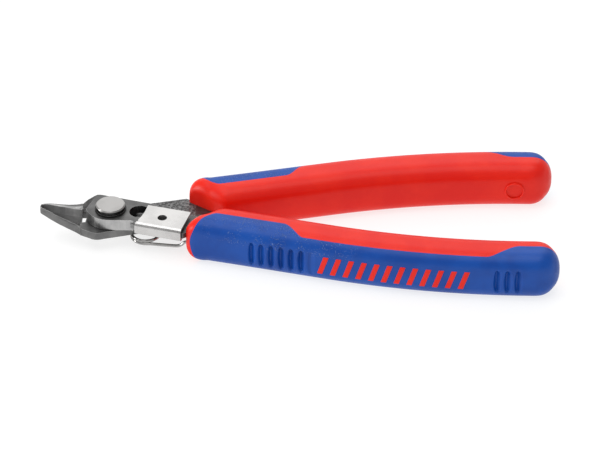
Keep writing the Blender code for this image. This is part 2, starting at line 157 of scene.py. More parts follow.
def spread(start: float, end: float, count: int) -> list[float]:
    """Give evenly spaced values.

    Args:
        start: The first value.
        end: The last value.
        count: How many values there are.

    Returns:
        The values, both ends included.
    """
    return [start + (end - start) * i / (count - 1) for i in range(count)]


def ease(share: float) -> float:
    """Smooth a share from 0 to 1, flat at both ends."""
    share = min(1.0, max(0.0, share))
    return share * share * (3 - 2 * share)


def bulge(share: float) -> float:
    """Rise on a quarter circle from 0 to 1, steep at the start."""
    return sqrt(max(0.0, 1 - (1 - share) ** 2))


def dome(share: float, power: float) -> float:
    """Rise from nearly 0 to 1 along a quarter of a superellipse."""
    return max(0.004, 1 - (1 - share) ** power) ** (1 / power)


def ramp(value: float, soft: float) -> float:
    """Give 0 for values far under 0 and the value itself far over 0, with a soft bend between."""
    return soft * log(1.0 + exp(value / soft))


def arc(cx: float, cy: float, radius: float, start: float, end: float, count: int) -> Plan:
    """Give points on an arc.

    Args:
        cx: Centre along the tool.
        cy: Centre across the tool.
        radius: Radius of the arc.
        start: First angle in degrees.
        end: Last angle in degrees.
        count: Number of points.

    Returns:
        The points in plan.
    """
    angles = [radians(angle) for angle in spread(start, end, count)]
    return [(cx + radius * cos(a), cy + radius * sin(a)) for a in angles]


class Bench:
    """Blender's own modelling operators, in the few forms that the pieces need."""

    @staticmethod
    def clear() -> None:
        """Leave edit mode and select nothing."""
        if bpy.context.object and bpy.context.object.mode != "OBJECT":
            bpy.ops.object.mode_set(mode="OBJECT")
        bpy.ops.object.select_all(action="DESELECT")

    @staticmethod
    def pick(obj: bpy.types.Object) -> None:
        """Make an object the only selected and active one.

        Args:
            obj: The object.
        """
        Bench.clear()
        obj.select_set(True)
        bpy.context.view_layer.objects.active = obj

    @staticmethod
    def edit(obj: bpy.types.Object, select: str = "SELECT") -> None:
        """Open an object in edit mode.

        Args:
            obj: The object.
            select: SELECT or DESELECT, for all that it has.
        """
        Bench.pick(obj)
        bpy.ops.object.mode_set(mode="EDIT")
        bpy.ops.mesh.select_all(action=select)

    @staticmethod
    def done() -> None:
        """Close edit mode."""
        bpy.ops.object.mode_set(mode="OBJECT")

    @staticmethod
    def added(name: str) -> bpy.types.Object:
        """Name the object that was just added, and apply its transform.

        Args:
            name: Name of the object.

        Returns:
            The object.
        """
        bpy.context.object.name = name
        bpy.ops.object.transform_apply()
        return bpy.context.object

    @staticmethod
    def outward(obj: bpy.types.Object) -> None:
        """Merge doubles and point every face outwards.

        Args:
            obj: The object.
        """
        Bench.edit(obj)
        bpy.ops.mesh.remove_doubles(threshold=1e-7)
        bpy.ops.mesh.normals_make_consistent(inside=False)
        Bench.done()

    @staticmethod
    def prism(name: str, corners: list[Vector], rise: Vector) -> bpy.types.Object:
        """Move a circle's corners to an outline, and extrude it into a closed solid.

        Args:
            name: Name of the object.
            corners: Corners of the outline in the frame, in order.
            rise: How far and which way it is extruded.

        Returns:
            The object.
        """
        Bench.clear()
        bpy.ops.mesh.primitive_circle_add(vertices=len(corners), radius=MM, fill_type="NGON")
        obj = Bench.added(name)
        for vertex, corner in zip(obj.data.vertices, corners):
            vertex.co = corner
        Bench.edit(obj)
        bpy.ops.mesh.extrude_region_move(TRANSFORM_OT_translate={"value": tuple(rise)})
        Bench.done()
        Bench.outward(obj)
        return obj

    @staticmethod
    def plate(name: str, outline: Plan, z_low: float, z_high: float) -> bpy.types.Object:
        """Extrude a plan outline from one height to another.

        Args:
            name: Name of the object.
            outline: Corners in plan.
            z_low: Lower face.
            z_high: Upper face.

        Returns:
            The object.
        """
        rise = Vector((0, 0, z_high - z_low)) * MM
        return Bench.prism(name, [SPACE.at(x, y, z_low) for x, y in outline], rise)

    @staticmethod
    def rod(
        x: float, y: float, radius: float, z_low: float = -FAR, z_high: float = FAR
    ) -> bpy.types.Object:
        """Add a plain upright cylinder to cut with.

        Args:
            x: Axis along the tool.
            y: Axis across the tool.
            radius: Radius.
            z_low: Lower end, under everything unless it is given.
            z_high: Upper end, over everything unless it is given.

        Returns:
            The object.
        """
        Bench.clear()
        middle = SPACE.at(x, y, (z_low + z_high) / 2)
        depth = (z_high - z_low) * MM
        bpy.ops.mesh.primitive_cylinder_add(vertices=64, radius=radius * MM, depth=depth, location=middle)
        return Bench.added("rod")

    @staticmethod
    def turned(name: str, x: float, y: float, profile: Plan, segments: int = 96) -> bpy.types.Object:
        """Turn a solid: a disc is extruded ring by ring, and each ring is scaled to its radius.

        Args:
            name: Name of the object.
            x: Axis along the tool.
            y: Axis across the tool.
            profile: (radius, z) from the bottom disc to the top disc.
            segments: Corners of each ring.

        Returns:
            The object.
        """
        Bench.clear()
        radius, height = profile[0]
        centre = SPACE.at(x, y, height)
        bpy.ops.mesh.primitive_circle_add(
            vertices=segments, radius=radius * MM, fill_type="NGON", location=centre
        )
        obj = Bench.added(name)
        Bench.edit(obj)
        for (r0, z0), (r1, z1) in zip(profile, profile[1:]):
            rise = (0, 0, (z1 - z0) * MM)
            bpy.ops.mesh.extrude_region_move(TRANSFORM_OT_translate={"value": rise})
            scale = r1 / r0
            bpy.ops.transform.resize(value=(scale, scale, 1), center_override=SPACE.at(x, y, z1))
        Bench.done()
        Bench.outward(obj)
        return obj

    @staticmethod
    def loft(name: str, rings: list[list[Vector]], around: bool = True) -> bpy.types.Object:
        """Wrap a grid through rings of equal length.

        Args:
            name: Name of the object.
            rings: The rings, from one end to the other.
            around: True closes each ring and fills both ends, False leaves an open sheet.

        Returns:
            The object.
        """
        Bench.clear()
        across = len(rings[0]) - (0 if around else 1)
        bpy.ops.mesh.primitive_grid_add(x_subdivisions=across, y_subdivisions=len(rings) - 1, size=MM)
        obj = Bench.added(name)
        places = [place for ring in rings for place in (ring + ring[:1] if around else ring)]
        obj.data.vertices.foreach_set("co", [value for place in places for value in place])
        Bench.edit(obj)
        bpy.ops.mesh.remove_doubles(threshold=1e-7)
        if around:
            bpy.ops.mesh.select_mode(type="EDGE")
            bpy.ops.mesh.select_all(action="DESELECT")
            bpy.ops.mesh.select_non_manifold()
            bpy.ops.mesh.fill_holes(sides=0)
            bpy.ops.mesh.select_mode(type="VERT")
        bpy.ops.mesh.select_all(action="SELECT")
        bpy.ops.mesh.normals_make_consistent(inside=False)
        Bench.done()
        return obj

    @staticmethod
    def apply(obj: bpy.types.Object, kind: str, **settings: object) -> None:
        """Add a modifier, set it and apply it.

        Args:
            obj: The object.
            kind: The modifier's type.
            settings: The modifier's values by name.
        """
        Bench.pick(obj)
        modifier = obj.modifiers.new(kind.title(), kind)
        for key, value in settings.items():
            setattr(modifier, key, value)
        bpy.ops.object.modifier_apply(modifier=modifier.name)

    @staticmethod
    def carve(obj: bpy.types.Object, tool: bpy.types.Object, operation: str = "DIFFERENCE") -> None:
        """Cut a tool out of an object, or join it on, and throw the tool away.

        Args:
            obj: The object that is shaped.
            tool: The other solid.
            operation: DIFFERENCE, UNION or INTERSECT.
        """
        Bench.apply(obj, "BOOLEAN", operation=operation, solver="EXACT", object=tool)
        bpy.data.objects.remove(tool, do_unlink=True)

    @staticmethod
    def soften(obj: bpy.types.Object, width: float, segments: int = 3, angle: float = 32.0) -> None:
        """Round the edges that are sharper than an angle.

        Args:
            obj: The object.
            width: Width of the rounding in millimetres.
            segments: Steps across the rounding.
            angle: Edges flatter than this are left alone.
        """
        Bench.apply(
            obj,
            "BEVEL",
            width=width * MM,
            segments=segments,
            limit_method="ANGLE",
            angle_limit=radians(angle),
            miter_outer="MITER_ARC",
        )

    @staticmethod
    def smooth(obj: bpy.types.Object, angle: float = 32.0) -> None:
        """Shade smoothly below an angle, with flat faces kept flat.

        Args:
            obj: The object.
            angle: Edges sharper than this stay sharp.
        """
        Bench.pick(obj)
        bpy.ops.object.shade_smooth_by_angle(angle=radians(angle))
        Bench.apply(obj, "WEIGHTED_NORMAL", mode="FACE_AREA", keep_sharp=True)


class Nodes:
    """A material's node tree, built a step at a time."""

    def __init__(self, name: str) -> None:
        """Start a material with one Principled shader.

        Args:
            name: Name of the material.
        """
        self.material = bpy.data.materials.new(name)
        self.material.use_nodes = True
        self.tree = self.material.node_tree
        self.shader = self.tree.nodes["Principled BSDF"]
        self.coords = self.tree.nodes.new("ShaderNodeTexCoord").outputs["Object"]

    def put(self, socket: bpy.types.NodeSocket, value: object) -> None:
        """Link an output to an input, or set the input's constant.

        Args:
            socket: The input.
            value: An output or a constant.
        """
        if isinstance(value, bpy.types.NodeSocket):
            self.tree.links.new(value, socket)
        else:
            socket.default_value = value

    def add(self, kind: str, output: str | int, inputs: dict, **settings: object) -> bpy.types.NodeSocket:
        """Add a node.

        Args:
            kind: The node's type, without the part that all shader nodes share.
            output: Which output is wanted.
            inputs: Constants or outputs by the input's name or number.
            settings: The node's own settings.

        Returns:
            The output.
        """
        node = self.tree.nodes.new("ShaderNode" + kind)
        for key, value in settings.items():
            setattr(node, key, value)
        for key, value in inputs.items():
            self.put(node.inputs[key], value)
        return node.outputs[output]

    def stretched(self, scale: Point, turn: Point = (0, 0, 0)) -> bpy.types.NodeSocket:
        """Scale (in turns per metre) and turn (in radians) the object's own coordinates."""
        return self.add("Mapping", "Vector", {"Vector": self.coords, "Rotation": turn, "Scale": scale})

    def noise(
        self, scale: float, detail: float = 4.0, rough: float = 0.55, vector: object = None
    ) -> bpy.types.NodeSocket:
        """Add fractal noise.

        Args:
            scale: Turns per unit of the coordinates.
            detail: Octaves.
            rough: How strong the fine octaves are.
            vector: Coordinates, the object's own unless given.

        Returns:
            The noise value.
        """
        place = self.coords if vector is None else vector
        return self.add(
            "TexNoise", "Fac", {"Vector": place, "Scale": scale, "Detail": detail, "Roughness": rough}
        )

    def cells(self, vector: object, scale: float) -> bpy.types.NodeSocket:
        """Add the distance to the nearest cell centre."""
        return self.add("TexVoronoi", "Distance", {"Vector": vector, "Scale": scale})

    def span(
        self, value: object, low: float, high: float, to_low: float = 0.0, to_high: float = 1.0
    ) -> bpy.types.NodeSocket:
        """Map a value from one range to another, clamped and smoothed.

        Args:
            value: The value.
            low: Where the range starts.
            high: Where it ends.
            to_low: What the start becomes.
            to_high: What the end becomes.

        Returns:
            The mapped value.
        """
        ends = {"From Min": low, "From Max": high, "To Min": to_low, "To Max": to_high}
        return self.add("MapRange", "Result", {"Value": value, **ends}, interpolation_type="SMOOTHSTEP")

    def product(self, first: object, second: object) -> bpy.types.NodeSocket:
        """Multiply two values."""
        return self.add("Math", 0, {0: first, 1: second}, operation="MULTIPLY")

    def part(self, axis: str) -> bpy.types.NodeSocket:
        """Give one coordinate of the object."""
        return self.add("SeparateXYZ", axis, {0: self.coords})

    def blend(self, share: object, first: object, second: object) -> bpy.types.NodeSocket:
        """Mix two colours: a share of 0 gives the first, 1 the second."""
        return self.add("Mix", 2, {0: share, 6: first, 7: second}, data_type="RGBA")

    def bump(self, height: object, depth: float, under: object = None) -> bpy.types.NodeSocket:
        """Add a bump.

        Args:
            height: What stands up.
            depth: How far it stands up, in metres.
            under: Another bump that this one lies on, if there is one.

        Returns:
            The bumped normal.
        """
        inputs = {"Distance": depth, "Height": height}
        if under is not None:
            inputs["Normal"] = under
        return self.add("Bump", "Normal", inputs)

    def wear_and_edge_highlight(self, radius: float) -> bpy.types.NodeSocket:
        """Tell edges from flats by how far a rounded normal leans away from the true one.

        Args:
            radius: Reach of the wear and of the painted edge highlight from an edge, in metres.

        Returns:
            0 on a flat, up to 1 on an edge.
        """
        rounded = self.add("Bevel", "Normal", {"Radius": radius}, samples=6)
        true = self.add("NewGeometry", "Normal", {})
        likeness = self.add("VectorMath", "Value", {0: rounded, 1: true}, operation="DOT_PRODUCT")
        flat_from, edge_from = 0.985, 0.86
        return self.span(likeness, flat_from, edge_from)

    def set(self, **values: object) -> None:
        """Set or link the shader's sockets, with _ in place of a space."""
        for key, value in values.items():
            self.put(self.shader.inputs[key.replace("_", " ")], value)


def grey(value: float, warm: float = 0.0) -> Colour:
    """Give a grey, a little warm if asked."""
    return (value * (1 + warm), value, value * (1 - warm), 1.0)


@dataclass(frozen=True)
class SteelFinish:
    """Steel with fine strokes along the tool, clouds of tone, and lighter edges that are wear together
    with a painted edge highlight.
    """

    name: str
    dark: float
    light: float
    edge: float
    rough: tuple[float, float]
    strokes: Point = (60.0, 2600.0, 2600.0)
    stroke_depth: float = 0.000004
    stroke_share: float = 0.35
    stroke_light: float = 1.15
    cloud_scale: float = 260.0
    grain_scale: float = 2500.0
    grain_depth: float = 0.000003
    wear_and_highlight_reach: float = 0.00016
    warm: float = 0.01

    def build(self) -> bpy.types.Material:
        """Make the material.

        Returns:
            The material, named after the finish.
        """
        nodes = Nodes(self.name)
        clouds = nodes.noise(self.cloud_scale, 5.0, 0.6)
        fine = nodes.noise(self.grain_scale, 3.0, 0.6)
        strokes = nodes.noise(1.0, 3.0, 0.6, nodes.stretched(self.strokes))
        tone = nodes.blend(nodes.span(clouds, 0.35, 0.68), grey(self.dark), grey(self.light, self.warm))
        stroked = nodes.span(strokes, 0.45, 0.75, 0.0, self.stroke_share)
        marked = nodes.blend(stroked, tone, grey(self.light * self.stroke_light, self.warm))
        # the lighter edge colour is edge wear together with a painted edge highlight
        nodes.set(
            Base_Color=nodes.blend(nodes.wear_and_edge_highlight(self.wear_and_highlight_reach), marked, grey(self.edge, self.warm)),
            Roughness=nodes.span(strokes, 0.3, 0.7, *self.rough),
            Normal=nodes.bump(fine, self.grain_depth, nodes.bump(strokes, self.stroke_depth)),
            Metallic=1.0,
        )
        return nodes.material


@dataclass(frozen=True)
class CastFinish:
    """Forged steel that was left rough, dark and speckled."""

    name: str = "forged_skin"
    dark: float = 0.05
    light: float = 0.24
    rough: tuple[float, float] = (0.34, 0.62)
    lump_scale: float = 2900.0
    lump_depth: float = 0.00008
    fine_scale: float = 5200.0
    fine_depth: float = 0.00002
    cloud_scale: float = 1700.0

    def build(self) -> bpy.types.Material:
        """Make the material.

        Returns:
            The material, named after the finish.
        """
        nodes = Nodes(self.name)
        lumps = nodes.cells(nodes.coords, self.lump_scale)
        fine = nodes.noise(self.fine_scale, 4.0, 0.7)
        clouds = nodes.noise(self.cloud_scale, 5.0, 0.7)
        nodes.set(
            Base_Color=nodes.blend(nodes.span(clouds, 0.38, 0.62), grey(self.dark), grey(self.light)),
            Roughness=nodes.span(fine, 0.3, 0.7, *self.rough),
            Normal=nodes.bump(lumps, self.lump_depth, nodes.bump(fine, self.fine_depth)),
            Metallic=0.9,
        )
        return nodes.material


@dataclass(frozen=True)
class PlatedFinish:
    """Bright plated sheet or turned steel, nearly white, with hairline scratches."""

    name: str
    colour: float
    rough: tuple[float, float]
    scratch_turn: float = 0.4
    warm: float = 0.015
    hair: Point = (90, 3200, 90)
    hair_depth: float = 0.000002
    crossing: Point = (2800, 110, 110)
    crossing_depth: float = 0.0000015
    cloud_scale: float = 190.0
    cloud_dark: float = 0.86
    hair_dark: float = 0.7

    def build(self) -> bpy.types.Material:
        """Make the material.

        Returns:
            The material, named after the finish.
        """
        nodes = Nodes(self.name)
        turn = (0, 0, self.scratch_turn)
        hair = nodes.noise(1.0, 2.0, 0.5, nodes.stretched(self.hair, turn))
        crossing = nodes.noise(1.0, 2.0, 0.5, nodes.stretched(self.crossing, turn))
        clouds = nodes.noise(self.cloud_scale, 4.0, 0.6)
        pale, deep = grey(self.colour, self.warm), grey(self.colour * self.cloud_dark, self.warm)
        tone = nodes.blend(nodes.span(clouds, 0.35, 0.65), deep, pale)
        scratched = nodes.span(hair, 0.62, 0.8, 0.0, 0.35)
        nodes.set(
            Base_Color=nodes.blend(scratched, tone, grey(self.colour * self.hair_dark)),
            Roughness=nodes.span(clouds, 0.3, 0.7, *self.rough),
            Normal=nodes.bump(crossing, self.crossing_depth, nodes.bump(hair, self.hair_depth)),
            Metallic=1.0,
        )
        return nodes.material


@dataclass(frozen=True)
class MouldedFinish:
    """Moulded plastic or rubber: even colour, fine grain, a soft gloss, and where asked a patch of grain
    specks painted lighter as painted glints.
    """

    name: str
    deep: Colour
    pale: Colour
    rough: tuple[float, float]
    shine: float
    grain_scale: float
    grain_depth: float
    wave_scale: float = 70.0
    wave_depth: float = 0.00006
    spark: Colour | None = None
    spark_start: tuple[float, float] = (-0.025, -0.015)
    spark_end: tuple[float, float] = (0.001, 0.022)
    spark_height: tuple[float, float] = (0.0068, 0.0092)
    spark_depth: float = 0.00007
    spark_share: float = 0.75

    def build(self) -> bpy.types.Material:
        """Make the material.

        Returns:
            The material, named after the finish.
        """
        nodes = Nodes(self.name)
        clouds = nodes.noise(120.0, 4.0, 0.55)
        grain = nodes.noise(self.grain_scale, 3.0, 0.6)
        waves = nodes.noise(self.wave_scale, 2.0, 0.5)
        normal = nodes.bump(grain, self.grain_depth, nodes.bump(waves, self.wave_depth))
        tone = nodes.blend(nodes.span(clouds, 0.35, 0.65), self.deep, self.pale)
        if self.spark is not None:
            glint_grains = self.sparkle(nodes)
            # the spark colour laid on the grain specks is a painted glint
            tone = nodes.blend(nodes.product(glint_grains, self.spark_share), tone, self.spark)
            normal = nodes.bump(glint_grains, self.spark_depth, normal)
        nodes.set(Base_Color=tone, Roughness=nodes.span(grain, 0.3, 0.7, *self.rough), Normal=normal)
        nodes.set(Specular_IOR_Level=self.shine)
        return nodes.material

    def sparkle(self, nodes: Nodes) -> bpy.types.NodeSocket:
        """Scatter grain specks high on the piece, over one stretch of its length; their lighter colour is
        a painted glint.

        Args:
            nodes: The material's nodes.

        Returns:
            1 on a grain, 0 elsewhere.
        """
        x = nodes.part("X")
        start = nodes.span(x, *self.spark_start)
        end = nodes.span(x, *self.spark_end, 1.0, 0.0)
        high = nodes.span(nodes.part("Z"), *self.spark_height)
        patchy = nodes.span(nodes.noise(300.0, 3.0, 0.6), 0.40, 0.56)
        glint_grains = nodes.span(nodes.noise(2600.0, 3.0, 0.75), 0.56, 0.66)
        zone = nodes.product(nodes.product(start, end), nodes.product(high, patchy))
        return nodes.product(glint_grains, zone)


class Palette:
    """All the materials, made once."""

    def __init__(self) -> None:
        """Build every finish."""
        self.burnished = SteelFinish("burnished_top", 0.105, 0.158, 0.38, (0.36, 0.5)).build()
        # ground steel for the ground walls and the upper jaw's inner land; its upright lighter strokes
        # are partly painted reflection streaks, and on the land the bright finish is partly a painted
        # highlight
        self.ground = SteelFinish(
            "ground_steel_and_painted_sheen",
            0.36,
            0.475,
            0.7,
            (0.26, 0.36),
            strokes=(1500.0, 1500.0, 50.0),
            stroke_depth=0.000002,
        ).build()
        self.jaw = SteelFinish(
            "jaw_grey", 0.135, 0.20, 0.42, (0.34, 0.46), strokes=(150.0, 2200.0, 900.0)
        ).build()
        self.hollow = SteelFinish(
            "hollow_ground", 0.17, 0.26, 0.5, (0.3, 0.42), strokes=(2200.0, 70.0, 70.0)
        ).build()
        self.forged = CastFinish().build()
        self.bolt = PlatedFinish("bolt_face", 0.405, (0.26, 0.38), 0.9, 0.02).build()
        # near-black steel for the collar ring; on the bolt head's side wall it is painted shade
        self.collar = SteelFinish("dark_collar_and_painted_shade", 0.03, 0.06, 0.3, (0.3, 0.45)).build()
        self.clip = PlatedFinish("plated_sheet", 0.60, (0.22, 0.32), radians(-15)).build()
        self.wire = PlatedFinish("spring_wire", 0.42, (0.08, 0.15), 0.2).build()
        self.red = MouldedFinish(
            "red_core",
            deep=(0.78, 0.011, 0.004, 1),
            pale=(0.84, 0.019, 0.006, 1),
            rough=(0.32, 0.42),
            shine=0.27,
            grain_scale=2600.0,
            grain_depth=0.000008,
        ).build()
        self.blue = MouldedFinish(
            "blue_pad",
            deep=(0.0, 0.052, 0.31, 1),
            pale=(0.001, 0.070, 0.38, 1),
            rough=(0.34, 0.46),
            shine=0.32,
            grain_scale=2900.0,
            grain_depth=0.00001,
            spark=(0.20, 0.30, 0.60, 1),
        ).build()


class Piece:
    """The last steps that every finished piece goes through."""

    @staticmethod
    def hand_over(
        obj: bpy.types.Object,
        body: Body | None,
        material: bpy.types.Material,
        slot: Slot,
        *stands_for: str,
    ) -> None:
        """Dress a piece, tie it to its body and log it.

        Args:
            obj: The finished object.
            body: The body that it rides on, or None if it bends between the two.
            material: Its main material, put first unless it has some already.
            slot: The record's slot; not used.
            stands_for: CAD nodes that it replaces.
        """
        if not obj.data.materials:
            obj.data.materials.append(material)
        if body is not None:
            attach(obj, body.value)
        if stands_for:
            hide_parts(*stands_for)
        LOG.info("%s: %d faces, %s", obj.name, len(obj.data.polygons), material.name)


@dataclass
class HandleLine:
    """The middle line that a grip and its tang follow, on the +y side."""

    slope: float = 0.25
    bend_x: float = 70.0
    bend_radius: float = 195.0

    def y(self, x: float) -> float:
        """Give the line's distance from the middle of the tool.

        Args:
            x: Millimetres from the jaw tip.

        Returns:
            The distance in millimetres.
        """
        if x <= self.bend_x:
            return (x - SPACE.pivot_x) * self.slope
        angle = atan2(self.slope, 1.0)
        arc_x = self.bend_x + self.bend_radius * sin(angle)
        arc_y = (self.bend_x - SPACE.pivot_x) * self.slope - self.bend_radius * cos(angle)
        return arc_y + sqrt(self.bend_radius**2 - (x - arc_x) ** 2)

    def outward(self, x: float) -> tuple[float, float]:
        """Give the direction in plan that is square to the line.

        Args:
            x: Millimetres from the jaw tip.

        Returns:
            The unit vector that points outwards.
        """
        slope = self.y(x + 0.5) - self.y(x - 0.5)
        length = hypot(1.0, slope)
        return -slope / length, 1.0 / length

    def beside(self, x: float, offset: float) -> tuple[float, float]:
        """Give the point in plan at a distance outwards from the line."""
        nx, ny = self.outward(x)
        return x + nx * offset, self.y(x) + ny * offset


LINE = HandleLine()


def mirrored(outline: Plan) -> Plan:
    """Put an outline on the other side of the middle line."""
    return [(x, -y) for x, y in outline]


@dataclass
class Jaw:
    """One cutting jaw: flat flush face below, two-step bevel above and a land outside it."""

    side: int
    end_lift: float
    land_share: float
    end_x: float = 9.9
    edge_gap: float = 0.05
    edge_land: float = 0.12
    flush_slope: float = 0.377
    flush_tip: float = 1.3
    lift_start: float = 4.0
    stations: tuple[Point, ...] = (
        (0.0, 0.36, 1.3),
        (0.15, 0.62, 1.75),
        (0.5, 0.82, 2.05),
        (1.0, 1.05, 2.15),
        (1.7, 1.42, 2.2),
        (2.4, 1.78, 2.25),
        (3.6, 2.30, 2.25),
        (4.8, 2.75, 2.25),
        (6.8, 3.32, 2.3),
        (8.4, 3.75, 2.35),
        (9.3, 4.05, 2.4),
        (9.9, 4.3, 2.4),
    )

    def flush(self, x: float) -> float:
        """Give the height of the flush face."""
        return self.flush_tip - self.flush_slope * x

    def outer(self, x: float) -> float:
        """Give the half width at the outer wall.

        Args:
            x: Millimetres from the tip.

        Returns:
            The half width in millimetres.
        """
        x = min(max(x, 0.0), self.end_x - 0.001)
        for (x0, y0, _), (x1, y1, _) in zip(self.stations, self.stations[1:]):
            if x0 <= x < x1:
                return y0 + (y1 - y0) * (x - x0) / (x1 - x0)
        return self.stations[-1][1]

    def ridge(self, x: float) -> float:
        """Give the half width at the ridge, between the bevel and the land."""
        return self.outer(x) * (1 - self.land_share * ease(0.5 + x / 4))

    def crease(self, x: float) -> float:
        """Give the share of the ridge's half width where the bevel's two steps meet."""
        return 0.18 + 0.32 * min(1.0, x / self.end_x)

    def section(self, x: float, outer: float, height: float) -> list[Vector]:
        """Give the corners of a cross-section.

        Args:
            x: Millimetres from the tip.
            outer: Half width at the outer wall.
            height: Height of the ridge over the flush face.

        Returns:
            The ring, from the cutting edge out, up and back down the bevel.
        """
        ridge, crease = self.ridge(x), self.crease(x)
        edge, land = self.edge_gap, self.edge_land
        low = self.flush(x)
        top = low + height
        lift = max(0.0, (x - self.lift_start) / (self.end_x - self.lift_start)) ** 2
        lift = self.end_lift * (0.2 + 0.8 * lift)
        ring = [(edge, low), ((outer + edge) / 2, low), (outer - land, low), (outer, low + land)]
        # the rounded outer edge and the land
        ring += [(outer, top - 0.4 + lift * 0.8), (outer - 0.05, top - 0.2 + lift)]
        ring += [((outer + ridge) / 2, top - 0.05 + lift * 0.6), (ridge, top + lift * 0.1)]
        # the bevel, a little hollow between its ends
        for share, raised in (((1 + crease) / 2, 0.0), (crease, 0.04), (crease / 2, 0.02)):
            up = land + (height - land) * (share + raised)
            ring.append((edge + (ridge - edge) * share, low + up))
        ring.append((edge, low + land))
        return [SPACE.at(x, self.side * y, z) for y, z in ring]

    def build(self, name: str) -> bpy.types.Object:
        """Loft the jaw through its stations.

        Args:
            name: Name of the object.

        Returns:
            The object.
        """
        return Bench.loft(name, [self.section(*station) for station in self.stations])


@dataclass
class LeverPlan:
    """Outlines in plan that both levers share, drawn for the upper one."""

    disc_radius: float = 6.15
    disc_offset: float = 1.35
    flat_y: float = 4.8
    corner_x: float = 14.0
    corner_y: float = 6.05
    neck_x: float = 9.85
    neck_outer: float = 4.15
    tang_half: float = 3.0
    tang_end: float = 60.0

    def plate(self, neck_y: float = 2.9) -> Plan:
        """Give the joint plate: disc in front of the jaws, ground flat, rounded rear corner.

        Args:
            neck_y: How near to the middle line the plate comes where it meets the jaw.

        Returns:
            The outline.
        """
        disc = arc(SPACE.pivot_x, self.disc_offset, self.disc_radius, 180, 270, 40)
        neck = [(self.neck_x, self.neck_outer), (self.neck_x, neck_y), (11.0, neck_y - 0.2)]
        rear = [(22.3, -self.flat_y), (22.8, -5.0), (23.1, -5.5), (23.3, -5.95)]
        rear += [(26.4, -6.8), (27.8, 2.15)]
        x, y = self.corner_x, self.corner_y
        corner = [(x + 1.7, y - 0.42), (x + 1.2, y - 0.24), (x + 0.6, y - 0.07), (x, y)]
        corner += [(x - 0.6, y - 0.06), (x - 1.2, y - 0.26), (x - 1.8, y - 0.62)]
        corner += [(11.6, 5.12), (10.9, 4.75)]
        return neck + disc + rear + corner

    def root(self) -> Plan:
        """Give the block that carries the upper jaw past the lower plate's disc.

        Returns:
            The outline.
        """
        clear = arc(SPACE.pivot_x, -self.disc_offset, self.disc_radius + 0.3, 139, 114, 12)
        neck = [(self.neck_x, self.neck_outer), (self.neck_x, 2.9)]
        return neck + clear + [(13.9, 6.0), (13.3, 5.8), (12.0, 5.2)]

    def tang(self) -> Plan:
        """Give the lever behind the joint, from the plate into the grip.

        Returns:
            The outline.
        """
        stations = spread(41.0, self.tang_end, 8)
        outer = mirrored([LINE.beside(x, self.tang_half) for x in stations])
        inner = mirrored([LINE.beside(x, -self.tang_half) for x in stations])
        front = [(22.0, 3.7), (22.0, -4.7), (23.6, -6.1), (35.0, -9.1), (36.8, -8.0)]
        back = [(36.2, -1.0), (33.5, -0.1), (31.0, 0.8), (29.2, 1.5), (27.6, 2.25), (25.0, 3.05)]
        return front + outer + inner[::-1] + back


